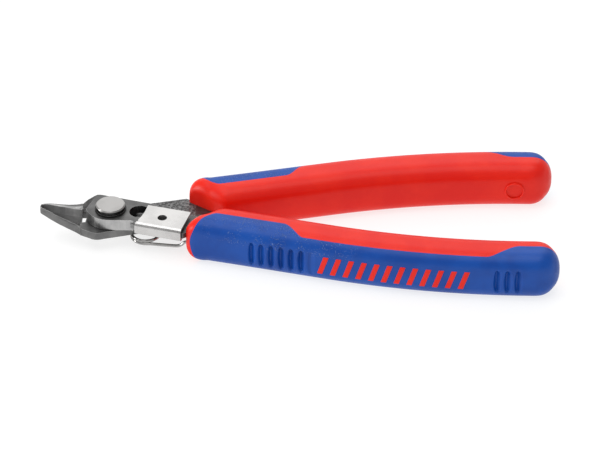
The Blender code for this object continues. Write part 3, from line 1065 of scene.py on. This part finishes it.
@dataclass
class Levers:
    """The two lapped steel levers, with their jaws, joint plates and tangs."""

    palette: Palette
    plan: LeverPlan = field(default_factory=LeverPlan)
    rear_jaw: Jaw = field(default_factory=lambda: Jaw(1, 1.3, 0.36))
    front_jaw: Jaw = field(default_factory=lambda: Jaw(-1, 0.0, 0.10))
    half_thick: float = 2.5
    lap: float = -0.45
    gap: float = 0.1
    lower_neck_y: float = 1.6
    bore: float = 2.3
    tang_low: float = 0.35
    tang_high: float = 1.75
    jaw_paint_end: float = 9.95
    wall_end: float = 23.5
    forged_start: float = 26.0
    forged_end: float = 37.5
    stop_radius: float = 2.5
    shoulder_start: float = 8.8
    shoulder_end: tuple[float, float] = (11.2, 0.37)
    shoulder_stations: tuple[Point, ...] = (
        (-2.0, 0.1, 3.0),
        (1.35, 0.1, 3.0),
        (2.8, 0.1, 2.6),
        (3.8, 0.5, 1.8),
        (4.9, 0.85, 1.1),
        (7.0, 1.2, 1.0),
    )

    def shoulder(self) -> bpy.types.Object:
        """Make the tool that hollows the step from joint plate to jaw, straighter on the far side.

        Returns:
            The tool, lofted through stations of y, height at the jaw and power of the rise.
        """
        start, top = self.shoulder_start, self.half_thick
        front = start - 1.5
        rings = []
        for y, low, power in self.shoulder_stations:
            end = self.shoulder_end[0] + self.shoulder_end[1] * y
            outline = [(front, low)]
            for share in spread(0.0, 1.0, 20):
                outline.append((start + (end - start) * share, low + (top - low) * share**power))
            outline += [(end, top + 1.0), (front, top + 1.0)]
            rings.append([SPACE.at(x, y, z) for x, z in outline])
        return Bench.loft("shoulder", rings)

    def finish(self, upper: bool, place: Vector, normal: Vector) -> SteelFace:
        """Choose the finish of a face.

        Args:
            upper: True for the upper lever.
            place: Middle of the face, in millimetres.
            normal: Its normal.

        Returns:
            The finish: grey or hollow-ground jaw, forged tang, ground wall or burnished plate. On the
                upper jaw the bevel's lower step takes the darker jaw grey as painted shade.
        """
        x, across = place.x, abs(place.y)
        upright = abs(normal.z) < 0.35
        if x < self.jaw_paint_end:
            jaw = self.rear_jaw if upper else self.front_jaw
            ridge = jaw.ridge(x)
            bevel = normal.z > 0.15 and across < ridge + 0.05
            # on the upper jaw the bevel's lower step, near the cutting edge, falls to the darker jaw
            # grey: painted shade where the lower jaw's ridge shades it
            if upper and bevel and across > jaw.crease(x) * ridge:
                return SteelFace.HOLLOW
            # the upper jaw's inner land takes the bright ground finish, partly as a painted highlight,
            # while the lower jaw's land stays grey
            inner_land = not bevel and normal.z > 0.3 and across < (jaw.outer(x) + ridge) / 2
            return SteelFace.GROUND if upper and inner_land else SteelFace.JAW
        if not upper:
            if self.forged_start < x < self.forged_end:
                return SteelFace.FORGED
            return SteelFace.JAW if upright and x < self.forged_start else SteelFace.BURNISHED
        in_bore = hypot(x - SPACE.pivot_x, place.y) < 4.0
        in_stop = hypot(x - STOP_PLACE[0], place.y - STOP_PLACE[1]) < self.stop_radius + 0.05
        near_side = x < self.wall_end and place.y < 3.0 and normal.y < 0.35
        wall = upright and near_side and place.z > self.lap - 0.3 and not in_bore and not in_stop
        return SteelFace.GROUND if wall else SteelFace.BURNISHED

    def paint(self, obj: bpy.types.Object, upper: bool) -> None:
        """Give each face of a lever its finish.

        Args:
            obj: The lever.
            upper: True for the upper lever.
        """
        steel = self.palette
        for material in (steel.burnished, steel.ground, steel.jaw, steel.forged, steel.hollow):
            obj.data.materials.append(material)
        for face in obj.data.polygons:
            place = (face.center - SPACE.at(0, 0, 0)) / MM
            face.material_index = self.finish(upper, place, face.normal).value

    def build_upper(self) -> None:
        """Make the upper lever: rear jaw, full joint plate and front tang."""
        low = self.lap + self.gap / 2
        lever = Bench.plate("upper_lever_steel", self.plan.plate(), low, self.half_thick)
        Bench.carve(lever, self.shoulder())
        tang = Bench.plate("tang", self.plan.tang(), self.tang_low, self.tang_high)
        # the plate stands free of the clip's lower flange
        front, back, side = 23.3, 30.0, 4.0
        box = [(front, -FAR), (back, -FAR), (back, side), (front, side)]
        relief = Bench.plate("relief", box, -1, self.tang_low)
        Bench.carve(lever, relief)
        Bench.carve(lever, tang, "UNION")
        root_low = self.rear_jaw.flush(self.rear_jaw.end_x)
        root = Bench.plate("root", self.plan.root(), root_low, 0.1)
        Bench.carve(lever, root, "UNION")
        Bench.carve(lever, self.rear_jaw.build("rear_jaw"), "UNION")
        Bench.carve(lever, Bench.rod(SPACE.pivot_x, 0, self.bore))
        Bench.carve(lever, Bench.rod(*STOP_PLACE, self.stop_radius))
        Bench.soften(lever, 0.16, 3, 38)
        self.paint(lever, True)
        Bench.smooth(lever)
        Piece.hand_over(lever, Body.UPPER, self.palette.burnished, Slot.BURNISHED, "upper_lever")

    def build_lower(self) -> None:
        """Make the lower lever: front jaw, joint plate under the lap and rear tang."""
        top = self.lap - self.gap / 2
        plate = mirrored(self.plan.plate(self.lower_neck_y))
        lever = Bench.plate("lower_lever_steel", plate, -self.half_thick, top)
        tang = Bench.plate("tang", mirrored(self.plan.tang()), -self.half_thick, top)
        Bench.carve(lever, tang, "UNION")
        Bench.carve(lever, self.front_jaw.build("front_jaw"), "UNION")
        Bench.carve(lever, Bench.rod(SPACE.pivot_x, 0, self.bore))
        Bench.edit(lever)
        bpy.ops.mesh.bisect(plane_co=SPACE.at(self.forged_end, 0, 0), plane_no=(1, 0, 0))
        Bench.done()
        Bench.soften(lever, 0.14, 3, 38)
        self.paint(lever, False)
        Bench.smooth(lever)
        Piece.hand_over(lever, Body.LOWER, self.palette.burnished, Slot.BURNISHED, "lower_lever")

    def build(self) -> None:
        """Make both levers."""
        self.build_upper()
        self.build_lower()


@dataclass
class PivotSet:
    """Bolt, collar, nut and stop pin."""

    palette: Palette
    head_radius: float = 3.57
    head_low: float = 3.0
    head_high: float = 4.0
    chamfer: float = 0.32
    shank: float = 2.2
    thread: float = 1.8
    collar_radius: float = 3.8
    collar_z: tuple[float, float] = (2.6, 2.95)
    nut_radius: float = 3.3
    nut_z: tuple[float, float] = (-3.5, -2.6)
    stop_pin: float = 0.95

    def build_bolt(self) -> None:
        """Turn the bolt with its chamfered head."""
        c, low, high = self.chamfer, self.head_low, self.head_high
        end, step = -3.4, -2.2
        profile = [(self.thread - 0.25, end), (self.thread, end + 0.2), (self.thread, step)]
        profile += [(self.shank, step), (self.shank, low)]
        r = self.head_radius
        profile += [(r - 0.05, low), (r, low + 0.06), (r, high - c), (r - 0.04, high - c + 0.06)]
        profile += [(r - c + 0.05, high - 0.03), (r - c - 0.08, high)]
        bolt = Bench.turned("pivot_bolt_steel", SPACE.pivot_x, 0, profile, 128)
        bolt.data.materials.append(self.palette.bolt)
        bolt.data.materials.append(self.palette.collar)
        # the head's side wall under the chamfer takes the near-black collar steel as painted shade
        for face in bolt.data.polygons:
            height = (face.center - SPACE.at(0, 0, 0)).z / MM
            if abs(face.normal.z) < 0.5 and low < height < high - c:
                face.material_index = 1
        Bench.smooth(bolt, 25)
        Piece.hand_over(bolt, Body.UPPER, self.palette.bolt, Slot.BRIGHT, "pivot_bolt")

    @staticmethod
    def ring(
        name: str, inner: float, outer: float, heights: tuple[float, float], edge: float
    ) -> bpy.types.Object:
        """Turn a flat ring with softened edges.

        Args:
            name: Name of the object.
            inner: Bore radius.
            outer: Outer radius.
            heights: Lower and upper face.
            edge: Rounding of its edges.

        Returns:
            The object.
        """
        disc = Bench.turned(name, SPACE.pivot_x, 0, [(outer, z) for z in heights])
        Bench.carve(disc, Bench.rod(SPACE.pivot_x, 0, inner))
        Bench.soften(disc, edge, 3)
        Bench.smooth(disc, 30)
        return disc

    def build(self) -> None:
        """Make the four pieces of the joint."""
        self.build_bolt()
        collar = self.ring("bolt_collar", self.shank + 0.1, self.collar_radius, self.collar_z, 0.09)
        Piece.hand_over(collar, Body.UPPER, self.palette.collar, Slot.BURNISHED, "bolt_washer")
        nut = self.ring("bolt_nut", self.thread + 0.05, self.nut_radius, self.nut_z, 0.2)
        Piece.hand_over(nut, Body.UPPER, self.palette.bolt, Slot.BRIGHT, "pivot_nut")
        r = self.stop_pin
        profile = [(r, -2.4), (r, 0.6), (r - 0.15, 0.75)]
        pin = Bench.turned("stop_pin_steel", *STOP_PLACE, profile, 48)
        Bench.smooth(pin, 25)
        Piece.hand_over(pin, Body.LOWER, self.palette.burnished, Slot.BURNISHED, "stop_pin")


@dataclass
class SheetClip:
    """Bright sheet folded over the upper lever, with a round hole."""

    palette: Palette
    corner: tuple[float, float] = (26.0, 0.4)
    angle: float = 15.2
    length: float = 10.9
    width: float = 7.6
    sheet: float = 0.5
    flange: float = 3.4
    bend: float = 1.15
    top: float = 3.05
    bottom: float = -0.2
    low_bend: float = 0.35
    holes: tuple[Point, ...] = ((5.0, 3.5, 1.15), (-0.6, 6.2, 0.42))
    rear: float = 0.65
    lean: float = 0.85
    hollow: float = 0.5

    def plan_point(self, u: float, v: float) -> tuple[float, float]:
        """Turn the clip's own place into the tool's plan.

        Args:
            u: Along the lever.
            v: Outwards.

        Returns:
            The plan point.
        """
        a = radians(self.angle)
        return self.corner[0] + u * cos(a) - v * sin(a), self.corner[1] - u * sin(a) - v * cos(a)

    def profile(self) -> Plan:
        """Give the middle line of the fold: top, round bend, wall, bend, lower flange.

        Returns:
            Points of place outwards and height.
        """
        half = self.sheet / 2
        r = self.bend - half
        wall = self.width - half
        top, bottom = self.top - half, self.bottom + half
        line = [(-self.rear, top), (self.width * 0.3, top), (self.width * 0.6, top)]
        line += [(wall - r + r * sin(a), top - r + r * cos(a)) for a in spread(0, pi / 2, 9)]
        r = self.low_bend
        line += [(wall - r + r * cos(a), bottom + r - r * sin(a)) for a in spread(0, pi / 2, 6)]
        line.append((self.width - self.flange, bottom))
        return line

    def build(self) -> None:
        """Fold the sheet, cut the hole and the corner's notch, and round its edges."""
        rings = []
        for share in spread(0, 1, 17):
            ring = []
            for v, z in self.profile():
                across = min(1.0, max(0.0, v / self.width))
                lean = self.lean * across - self.hollow * sin(pi * across)
                u = self.length * share - lean * (1 - share)
                x, y = self.plan_point(u, v)
                ring.append(SPACE.at(x, y, z))
            rings.append(ring)
        clip = Bench.loft("folded_clip", rings, around=False)
        Bench.apply(clip, "SOLIDIFY", thickness=self.sheet * MM, offset=0.0, use_even_offset=True)
        Bench.outward(clip)
        for along, outwards, radius in self.holes:
            x, y = self.plan_point(along, outwards)
            Bench.carve(clip, Bench.rod(x, y, radius, 2, 4))
        Bench.soften(clip, 0.1, 3, 40)
        Bench.smooth(clip, 35)
        Piece.hand_over(clip, Body.UPPER, self.palette.clip, Slot.BRIGHT, "spring_clip")


@dataclass
class OpeningSpring:
    """Polished wire: front leg, one and a half turns under the joint, rear leg."""

    palette: Palette
    wire: float = 0.4
    centre: tuple[float, float] = (25.6, -2.2)
    radius: float = 3.4
    low_z: float = -3.75
    high_z: float = -2.95
    leave: float = 110.0
    start: float = 270.0
    leg_end: float = 41.0

    def route(self) -> list[Vector]:
        """Give the wire's middle line.

        Returns:
            Points in the frame, close enough together for a smooth bend.
        """
        cx, cy = self.centre
        near = cy - self.radius
        leg = [(self.leg_end, -7.2, -2.1), (38.0, -6.92, -2.1), (36.4, -6.75, -2.15)]
        leg += [(35.3, -6.6, -2.5), (34.6, -6.5, -3.2), (33.8, -6.4, -3.65)]
        leg += [(32.6, -6.3, self.low_z), (29.6, -5.98, self.low_z), (cx + 1.5, near - 0.05, self.low_z)]
        turn = self.start + 360.0 - self.leave
        coil = []
        for share in spread(0, 1, 61):
            angle = radians(self.start - turn * share)
            height = self.low_z + (self.high_z - self.low_z) * min(1.0, share * turn / 360)
            coil.append((cx + self.radius * cos(angle), cy + self.radius * sin(angle), height))
        away = radians(self.leave)
        run = (self.leg_end - 1.0 - coil[-1][0]) / sin(away)
        rear = (coil[-1][0] + run * sin(away), coil[-1][1] - run * cos(away), self.high_z)
        middle = tuple((a + b) / 2 for a, b in zip(coil[-1], rear))
        points = [Vector(p) for p in leg + coil + [middle, rear]]
        return [SPACE.at(*p) for p in self.smoothed(points)]

    @staticmethod
    def smoothed(points: list[Vector]) -> list[Vector]:
        """Put more points between each two, on a curve through them all.

        Args:
            points: The route's own points.

        Returns:
            The finer route.
        """
        fine = []
        for i in range(len(points) - 1):
            before, here, after = points[max(0, i - 1)], points[i], points[i + 1]
            beyond = points[min(len(points) - 1, i + 2)]
            count = 2 if (after - here).length < 0.9 else 5
            for k in range(count):
                t = k / count
                fine.append(
                    (
                        here * 2
                        + (after - before) * t
                        + (before * 2 - here * 5 + after * 4 - beyond) * t * t
                        + (here * 3 - before - after * 3 + beyond) * t**3
                    )
                    * 0.5
                )
        return fine + [points[-1]]

    def build(self) -> None:
        """Sweep the wire along its route, and tie it to neither lever."""
        points = self.route()
        Bench.clear()
        curve = bpy.data.curves.new("opening_spring_wire", "CURVE")
        curve.dimensions = "3D"
        curve.bevel_depth = self.wire * MM
        curve.bevel_resolution = 5
        curve.use_fill_caps = True
        spline = curve.splines.new("POLY")
        spline.points.add(len(points) - 1)
        for point, place in zip(spline.points, points):
            point.co = (*place, 1)
        wire = bpy.data.objects.new("opening_spring_wire", curve)
        bpy.context.scene.collection.objects.link(wire)
        Bench.pick(wire)
        bpy.ops.object.convert(target="MESH")
        wire = bpy.context.object
        Bench.outward(wire)
        Bench.pick(wire)
        bpy.ops.object.shade_smooth_by_angle(angle=radians(40))
        Piece.hand_over(wire, None, self.palette.wire, Slot.BRIGHT, "opening_spring")
        start = SPACE.at(28.0, -5.4, -3.3)
        end = SPACE.at(28.0, 3.0, -3.3)
        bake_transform(wire)


@dataclass
class Section:
    """A rounded-box cross-section of a grip, walked round from the middle of its top."""

    inner: float
    outer: float
    height: float
    corner: float

    @property
    def middle(self) -> float:
        """The middle of the section, outwards from the handle's line."""
        return (self.inner + self.outer) / 2

    @property
    def half(self) -> float:
        """Half of the section's width."""
        return max(0.02, (self.outer - self.inner) / 2)

    @property
    def radius(self) -> float:
        """The corner radius, no larger than the section allows."""
        return min(self.corner, self.half * 0.98, self.height * 0.98)

    @property
    def quarter(self) -> float:
        """Length from the middle of the top to the middle of a side."""
        return (self.half - self.radius) + pi / 2 * self.radius + (self.height - self.radius)

    def walk_to(self, offset: float) -> float:
        """Give the walked distance on the top half to an offset from the handle's line.

        Args:
            offset: Distance outwards from the handle's line.

        Returns:
            The walked distance, negative on the inner side.
        """
        flat = self.half - self.radius
        away = offset - self.middle
        if abs(away) <= flat:
            return away
        side = 1 if away > 0 else -1
        return side * (flat + self.radius * asin(min(1.0, (abs(away) - flat) / self.radius)))

    def place(self, walked: float, sunk: float = 0.0) -> tuple[float, float]:
        """Give the point at a walked distance.

        Args:
            walked: Distance walked outwards over the top and on round the section.
            sunk: How far under the surface the point lies.

        Returns:
            The offset from the handle's line, and the height.
        """
        total = 4 * self.quarter
        walked = (walked + total / 2) % total - total / 2
        side = 1 if walked >= 0 else -1
        way = abs(walked)
        upper = way <= self.quarter
        way = way if upper else 2 * self.quarter - way
        flat, r = self.half - self.radius, self.radius
        if way <= flat:
            across, up, nx, nz = way, self.height, 0.0, 1.0
        elif way <= flat + pi / 2 * r:
            angle = (way - flat) / r
            across, up = flat + r * sin(angle), self.height - r + r * cos(angle)
            nx, nz = sin(angle), cos(angle)
        else:
            across, up, nx, nz = self.half, self.height - r - (way - flat - pi / 2 * r), 1.0, 0.0
        across, up = across - nx * sunk, up - nz * sunk
        return self.middle + side * across, up if upper else -up


@dataclass
class GripForm:
    """The shape that the red core and the blue pad share, on the +y side."""

    half: float = 5.39
    inner_inset: float = 0.25
    turn_x: float = 41.0
    turn_length: float = 14.0
    thick: float = 5.99
    corner: float = 3.7
    nose_x: float = 35.8
    nose_corner: float = 2.4
    nose_taper: float = 1.6
    nose_cut: float = 2.7
    nose_slope: float = 0.953
    nose_rise: float = 4.8
    tail_x: float = 124.99
    tail_round: float = 6.2
    tail_power: float = 2.25
    tail_lift: float = 0.86
    tail_lift_power: float = 2.3
    rim: float = 0.95
    rim_reach: float = 6.6
    step: float = 3.5
    seam_near: float = -0.3
    seam_tail: float = 0.0
    seam_lead: float = 2.2
    step_up: tuple[float, float] = (59.3, 65.0)
    step_down: tuple[float, float] = (107.5, 115.5)
    groove_rows: tuple[tuple[float, int], ...] = ((53.0, 7), (110.3, 3))
    groove_pitch: float = 2.4
    groove_half: float = 0.98
    groove_depth: float = 0.9
    groove_middle: float = -0.4
    groove_tall: float = 3.3
    groove_reach: float = 0.6
    pace: float = 0.62
    groove_pace: float = 0.17
    shallow_groove: int = 6
    shallow_share: float = 0.3

    def square(self, x: float) -> tuple[float, float, float]:
        """Give the direction of a station's section, and how much wider it cuts the grip.

        Args:
            x: Millimetres from the jaw tip.

        Returns:
            The direction in plan, and the factor on offsets.
        """
        nx, ny = LINE.outward(x)
        share = ease((x - self.turn_x) / self.turn_length)
        dx, dy = nx * share, 1.0 + (ny - 1.0) * share
        length = hypot(dx, dy)
        dx, dy = dx / length, dy / length
        return dx, dy, 1.0 / (dx * nx + dy * ny)

    def section(self, x: float) -> Section:
        """Give the cross-section at a station.

        Args:
            x: Station.

        Returns:
            The section.
        """
        wide = self.half * self.square(x)[2]
        t = x - self.nose_x
        inner = -wide + self.inner_inset + ramp(wide + self.nose_cut - self.nose_slope * t, 0.5)
        outer, height = wide, self.thick
        if t < self.nose_corner:
            outer = wide - (1 - bulge(t / self.nose_corner)) * self.nose_taper
        if t < self.nose_rise:
            height -= (1 - bulge(t / self.nose_rise)) * self.nose_rise * 0.9
        left = (self.tail_x - x) / self.tail_round
        if left < 1.0:
            inner *= dome(left, self.tail_power)
            outer *= dome(left, self.tail_power)
            left = min(1.0, (self.tail_x - x) / (self.tail_round * self.tail_lift))
            height *= dome(left, self.tail_lift_power)
        return Section(inner, outer, height, self.corner)

    def seam(self, x: float, section: Section) -> float:
        """Give the seam's place between the two colours.

        Args:
            x: Station.
            section: Its cross-section.

        Returns:
            The offset from the handle's line.
        """
        rise = ease((x - self.step_up[0]) / (self.step_up[1] - self.step_up[0]))
        fall = ease((x - self.step_down[0]) / (self.step_down[1] - self.step_down[0]))
        base = self.seam_near + (self.step - self.seam_near) * rise + (self.seam_tail - self.step) * fall
        nose = self.nose_cut + self.seam_lead - self.seam_near - self.nose_slope * (x - self.nose_x)
        return min(base + ramp(nose, 0.35), section.outer - 0.3 * section.half)

    def groove(self, x: float, z: float) -> float:
        """Give how deep the finger grooves are at a place on the outer side.

        Args:
            x: Station.
            z: Height.

        Returns:
            The depth in millimetres.
        """
        tall = 1 - ((z - self.groove_middle) / self.groove_tall) ** 2
        if tall <= 0:
            return 0.0
        half = self.groove_half * tall**0.35
        deep = 0.0
        for first, count in self.groove_rows:
            for i in range(count):
                along = (x - first - i * self.groove_pitch) / half
                steep = ease((along + 1.0) / 0.55)
                slow = min(1.0, max(0.0, (1.0 - along) / 1.25))
                share = self.shallow_share if i == self.shallow_groove else 1.0
                deep = max(deep, steep * slow * share)
        return self.groove_depth * deep * min(1.0, tall * 3)

    def stations(self, start: float) -> list[float]:
        """Give the places of the cross-sections, closer where the shape turns quickly.

        Args:
            start: The first station.

        Returns:
            The stations, from the nose to the tail.
        """
        found = []
        x = start
        while x < self.tail_x - 0.02:
            found.append(x)
            near_nose = 0.16 + 0.5 * ease((x - self.nose_x) / 9.0)
            near_tail = 0.05 + 0.55 * ease((self.tail_x - x) / 5.0)
            step = min(near_nose, near_tail, self.pace)
            for first, count in self.groove_rows:
                if first - 1.4 < x < first + count * self.groove_pitch - 1.0:
                    step = min(step, self.groove_pace)
            x += step
        return found + [self.tail_x - 0.02]

    def point(self, x: float, section: Section, walked: float, sunk: float, flip: int) -> Vector:
        """Give a point on the grip in the frame.

        Args:
            x: Station.
            section: Its cross-section.
            walked: Distance walked round the section.
            sunk: Depth under the surface.
            flip: 1 for the +y side, -1 for the other.

        Returns:
            The point.
        """
        offset, height = section.place(walked, sunk)
        dx, dy, _ = self.square(x)
        px, py = x + dx * offset, LINE.y(x) + dy * offset
        return SPACE.at(px, flip * py, height)


@dataclass
class Grip:
    """One two-colour grip: red core, blue pad, plain bars and a plain ring."""

    palette: Palette
    name: str
    body: Body
    flip: int
    form: GripForm = field(default_factory=GripForm)
    pad_count: int = 52
    core_count: int = 38
    pad_thick: float = 1.2
    under: float = 0.9
    bed: float = 1.3
    bar_first: float = 70.2
    bar_pitch: float = 2.95
    bar_number: int = 12
    bar_half: float = 0.62
    bar_ends: tuple[float, float] = (-2.6, 2.3)
    bar_slant: float = 0.3
    bar_drop: float = 0.2
    bar_root: float = 0.35
    bar_height: float = 0.47
    ring_x: float = 115.6
    ring_z: float = -0.3
    ring_radius: float = 2.2
    ring_wire: float = 0.22

    def pad_walk(self, x: float) -> tuple[Section, list[float]]:
        """Give the cross-section at a station and the places across the pad.

        Args:
            x: Station.

        Returns:
            The section, and walked distances from the seam to under the grip.
        """
        form = self.form
        section = form.section(x)
        start = section.walk_to(form.seam(x, section))
        past = min(1.0, max(0.0, (x - form.nose_x - form.rim) / form.rim_reach))
        if past < 1.0:
            grown = 0.03 + (section.quarter + 1.0) * bulge(past)
            start = max(start, section.quarter - grown)
        under = self.under * min(1.0, section.half / form.half) * min(1.0, past)
        return section, spread(start, 2 * section.quarter - start + under, self.pad_count)

    def build_pad(self) -> None:
        """Make the blue pad, with its grooves, as a thick skin over the core."""
        form = self.form
        rings = []
        for x in form.stations(form.nose_x + form.rim):
            section, walks = self.pad_walk(x)
            ring = []
            for walked in walks:
                offset, height = section.place(walked)
                outside = offset > section.outer - form.groove_reach
                deep = form.groove(x, height) if outside else 0.0
                ring.append(form.point(x, section, walked, deep, self.flip))
            rings.append(ring)
        pad = Bench.loft(f"{self.name}_grip_blue", rings, around=False)
        if (pad.data.polygons[len(pad.data.polygons) // 2].normal.y > 0) != (self.flip > 0):
            Bench.edit(pad)
            bpy.ops.mesh.flip_normals()
            Bench.done()
        Bench.apply(pad, "SOLIDIFY", thickness=self.pad_thick * MM, offset=-1.0)
        Bench.soften(pad, 0.13, 2, 50)
        Bench.smooth(pad, 40)
        Piece.hand_over(pad, self.body, self.palette.blue, Slot.BLUE, f"{self.name}_grip_pad")

    def build_core(self) -> None:
        """Make the red core with the bed that the pad lies in."""
        form = self.form
        bed_x = form.nose_x + form.rim - 0.04
        front = [form.nose_x + t for t in (0.0, 0.06, 0.18, 0.35, 0.6, 0.9)] + [bed_x]
        back = form.stations(bed_x)
        rings = []
        for i, x in enumerate(front + back):
            section, walks = self.pad_walk(x)
            sunk = 0.0 if i < len(front) else min(self.bed, section.half * 0.9, section.height * 0.9)
            total = 4 * section.quarter
            red = spread(walks[-1], walks[0] + total, self.core_count)
            ring = [form.point(x, section, walked, sunk, self.flip) for walked in walks]
            ring += [form.point(x, section, walked, 0.0, self.flip) for walked in red]
            rings.append(ring)
        core = Bench.loft(f"{self.name}_grip_red", rings)
        Bench.smooth(core, 40)
        Piece.hand_over(core, self.body, self.palette.red, Slot.RED, f"{self.name}_grip_core")

    def build_bars(self) -> None:
        """Make the row of plain slanted bars that stand out of the pad."""
        half, (low, high) = self.bar_half, self.bar_ends
        bars = []
        for i in range(self.bar_number):
            x = self.bar_first + i * self.bar_pitch
            corners = []
            for along, up in ((-half, low), (half, low), (half, high), (-half, high)):
                px, py = LINE.beside(x + along + up * self.bar_slant, self.form.half - self.bar_root)
                corners.append(SPACE.at(px, self.flip * py, up - self.bar_drop))
            nx, ny = LINE.outward(x)
            rise = Vector((nx, self.flip * ny, 0)) * self.bar_height * MM
            bar = Bench.prism("bar", corners, rise)
            Bench.soften(bar, 0.1, 2, 40)
            bars.append(bar)
        Bench.clear()
        for bar in bars:
            bar.select_set(True)
        bpy.context.view_layer.objects.active = bars[0]
        bpy.ops.object.join()
        row = bpy.context.object
        row.name = f"{self.name}_grip_bars"
        Bench.smooth(row, 35)
        Piece.hand_over(row, self.body, self.palette.red, Slot.RED)

    def build_ring(self) -> None:
        """Make the plain ring on the inner side near the tail."""
        px, py = LINE.beside(self.ring_x, -self.form.half)
        nx, ny = LINE.outward(self.ring_x)
        Bench.clear()
        turn = Vector((nx, self.flip * ny, 0)).to_track_quat("Z", "X").to_euler()
        bpy.ops.mesh.primitive_torus_add(
            major_radius=self.ring_radius * MM,
            minor_radius=self.ring_wire * MM,
            major_segments=64,
            minor_segments=12,
            location=SPACE.at(px, self.flip * py, self.ring_z),
            rotation=turn,
        )
        ring = Bench.added(f"{self.name}_grip_ring")
        Bench.smooth(ring, 60)
        Piece.hand_over(ring, self.body, self.palette.red, Slot.RED)

    def build(self) -> None:
        """Make all the pieces of the grip."""
        self.build_core()
        self.build_pad()
        self.build_bars()
        self.build_ring()


@dataclass
class Studio:
    """Pale floor, soft lights and the camera, in degrees and metres; the aim is a place on the tool."""

    azimuth: float = 1.2
    elevation: float = 35.0
    distance: float = 0.70
    width: float = 0.1453
    aim: Point = (63.1, -2.3, 0.0)
    floor_grey: float = 0.27
    floor_glow: float = 0.76
    sky: float = 0.44

    def floor(self) -> None:
        """Lay the plain pale floor."""
        Bench.clear()
        bpy.ops.mesh.primitive_plane_add(size=6.0)
        floor = Bench.added("floor")
        nodes = Nodes("pale_floor")
        nodes.set(Base_Color=grey(self.floor_grey), Roughness=0.9)
        nodes.set(Emission_Color=grey(1.0), Emission_Strength=self.floor_glow)
        floor.data.materials.append(nodes.material)

    def lamp(self, name: str, place: Point, size: float, power: float, aim: Vector) -> None:
        """Hang one soft square light.

        Args:
            name: Name of the light.
            place: Where it hangs.
            size: Length of its sides.
            power: Watts.
            aim: What it points at.
        """
        light = bpy.data.lights.new(name, "AREA")
        light.size = size
        light.energy = power
        obj = bpy.data.objects.new(name, light)
        bpy.context.scene.collection.objects.link(obj)
        obj.location = place
        obj.rotation_euler = (aim - Vector(place)).to_track_quat("-Z", "Y").to_euler()

    def light(self) -> None:
        """Light the tool softly from above and behind, with a weak light on the left."""
        aim = Vector((0, 0, SPACE.middle_z))
        self.lamp("sky_box", (-0.10, -0.12, 0.95), 0.9, 4.9, aim)
        self.lamp("back_box", (0.0, 0.95, 0.75), 1.3, 5.1, aim)
        self.lamp("left_box", (-0.95, -0.12, 0.22), 0.4, 4.0, aim)
        world = bpy.data.worlds.new("studio")
        bpy.context.scene.world = world
        world.use_nodes = True
        background = world.node_tree.nodes["Background"]
        background.inputs["Color"].default_value = grey(1.0)
        background.inputs["Strength"].default_value = self.sky
        bpy.context.scene.view_settings.view_transform = "Standard"

    def camera(self) -> None:
        """Set the camera at its angle, on the middle of the tool."""
        data = bpy.data.cameras.new("camera")
        obj = bpy.data.objects.new("camera", data)
        bpy.context.scene.collection.objects.link(obj)
        a, e = radians(self.azimuth), radians(self.elevation)
        away = Vector((sin(a) * cos(e), -cos(a) * cos(e), sin(e)))
        aim = SPACE.at(*self.aim)
        obj.location = aim + away * self.distance
        obj.rotation_euler = (-away).to_track_quat("-Z", "Y").to_euler()
        data.sensor_width = 36.0
        data.lens = data.sensor_width * self.distance / self.width
        data.clip_start = 0.01
        bpy.context.scene.camera = obj

    def build(self) -> None:
        """Set the whole studio."""
        self.floor()
        self.light()
        self.camera()


def main() -> None:
    """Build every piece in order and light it."""
    logging.basicConfig(level=logging.INFO, format="%(name)s %(message)s")
    palette = Palette()
    Levers(palette).build()
    PivotSet(palette).build()
    SheetClip(palette).build()
    OpeningSpring(palette).build()
    Grip(palette, "upper", Body.UPPER, -1, GripForm(seam_tail=-0.6)).build()
    Grip(palette, "lower", Body.LOWER, 1, GripForm(seam_tail=0.5)).build()
    Studio().build()


if __name__ == "__main__":
    main()
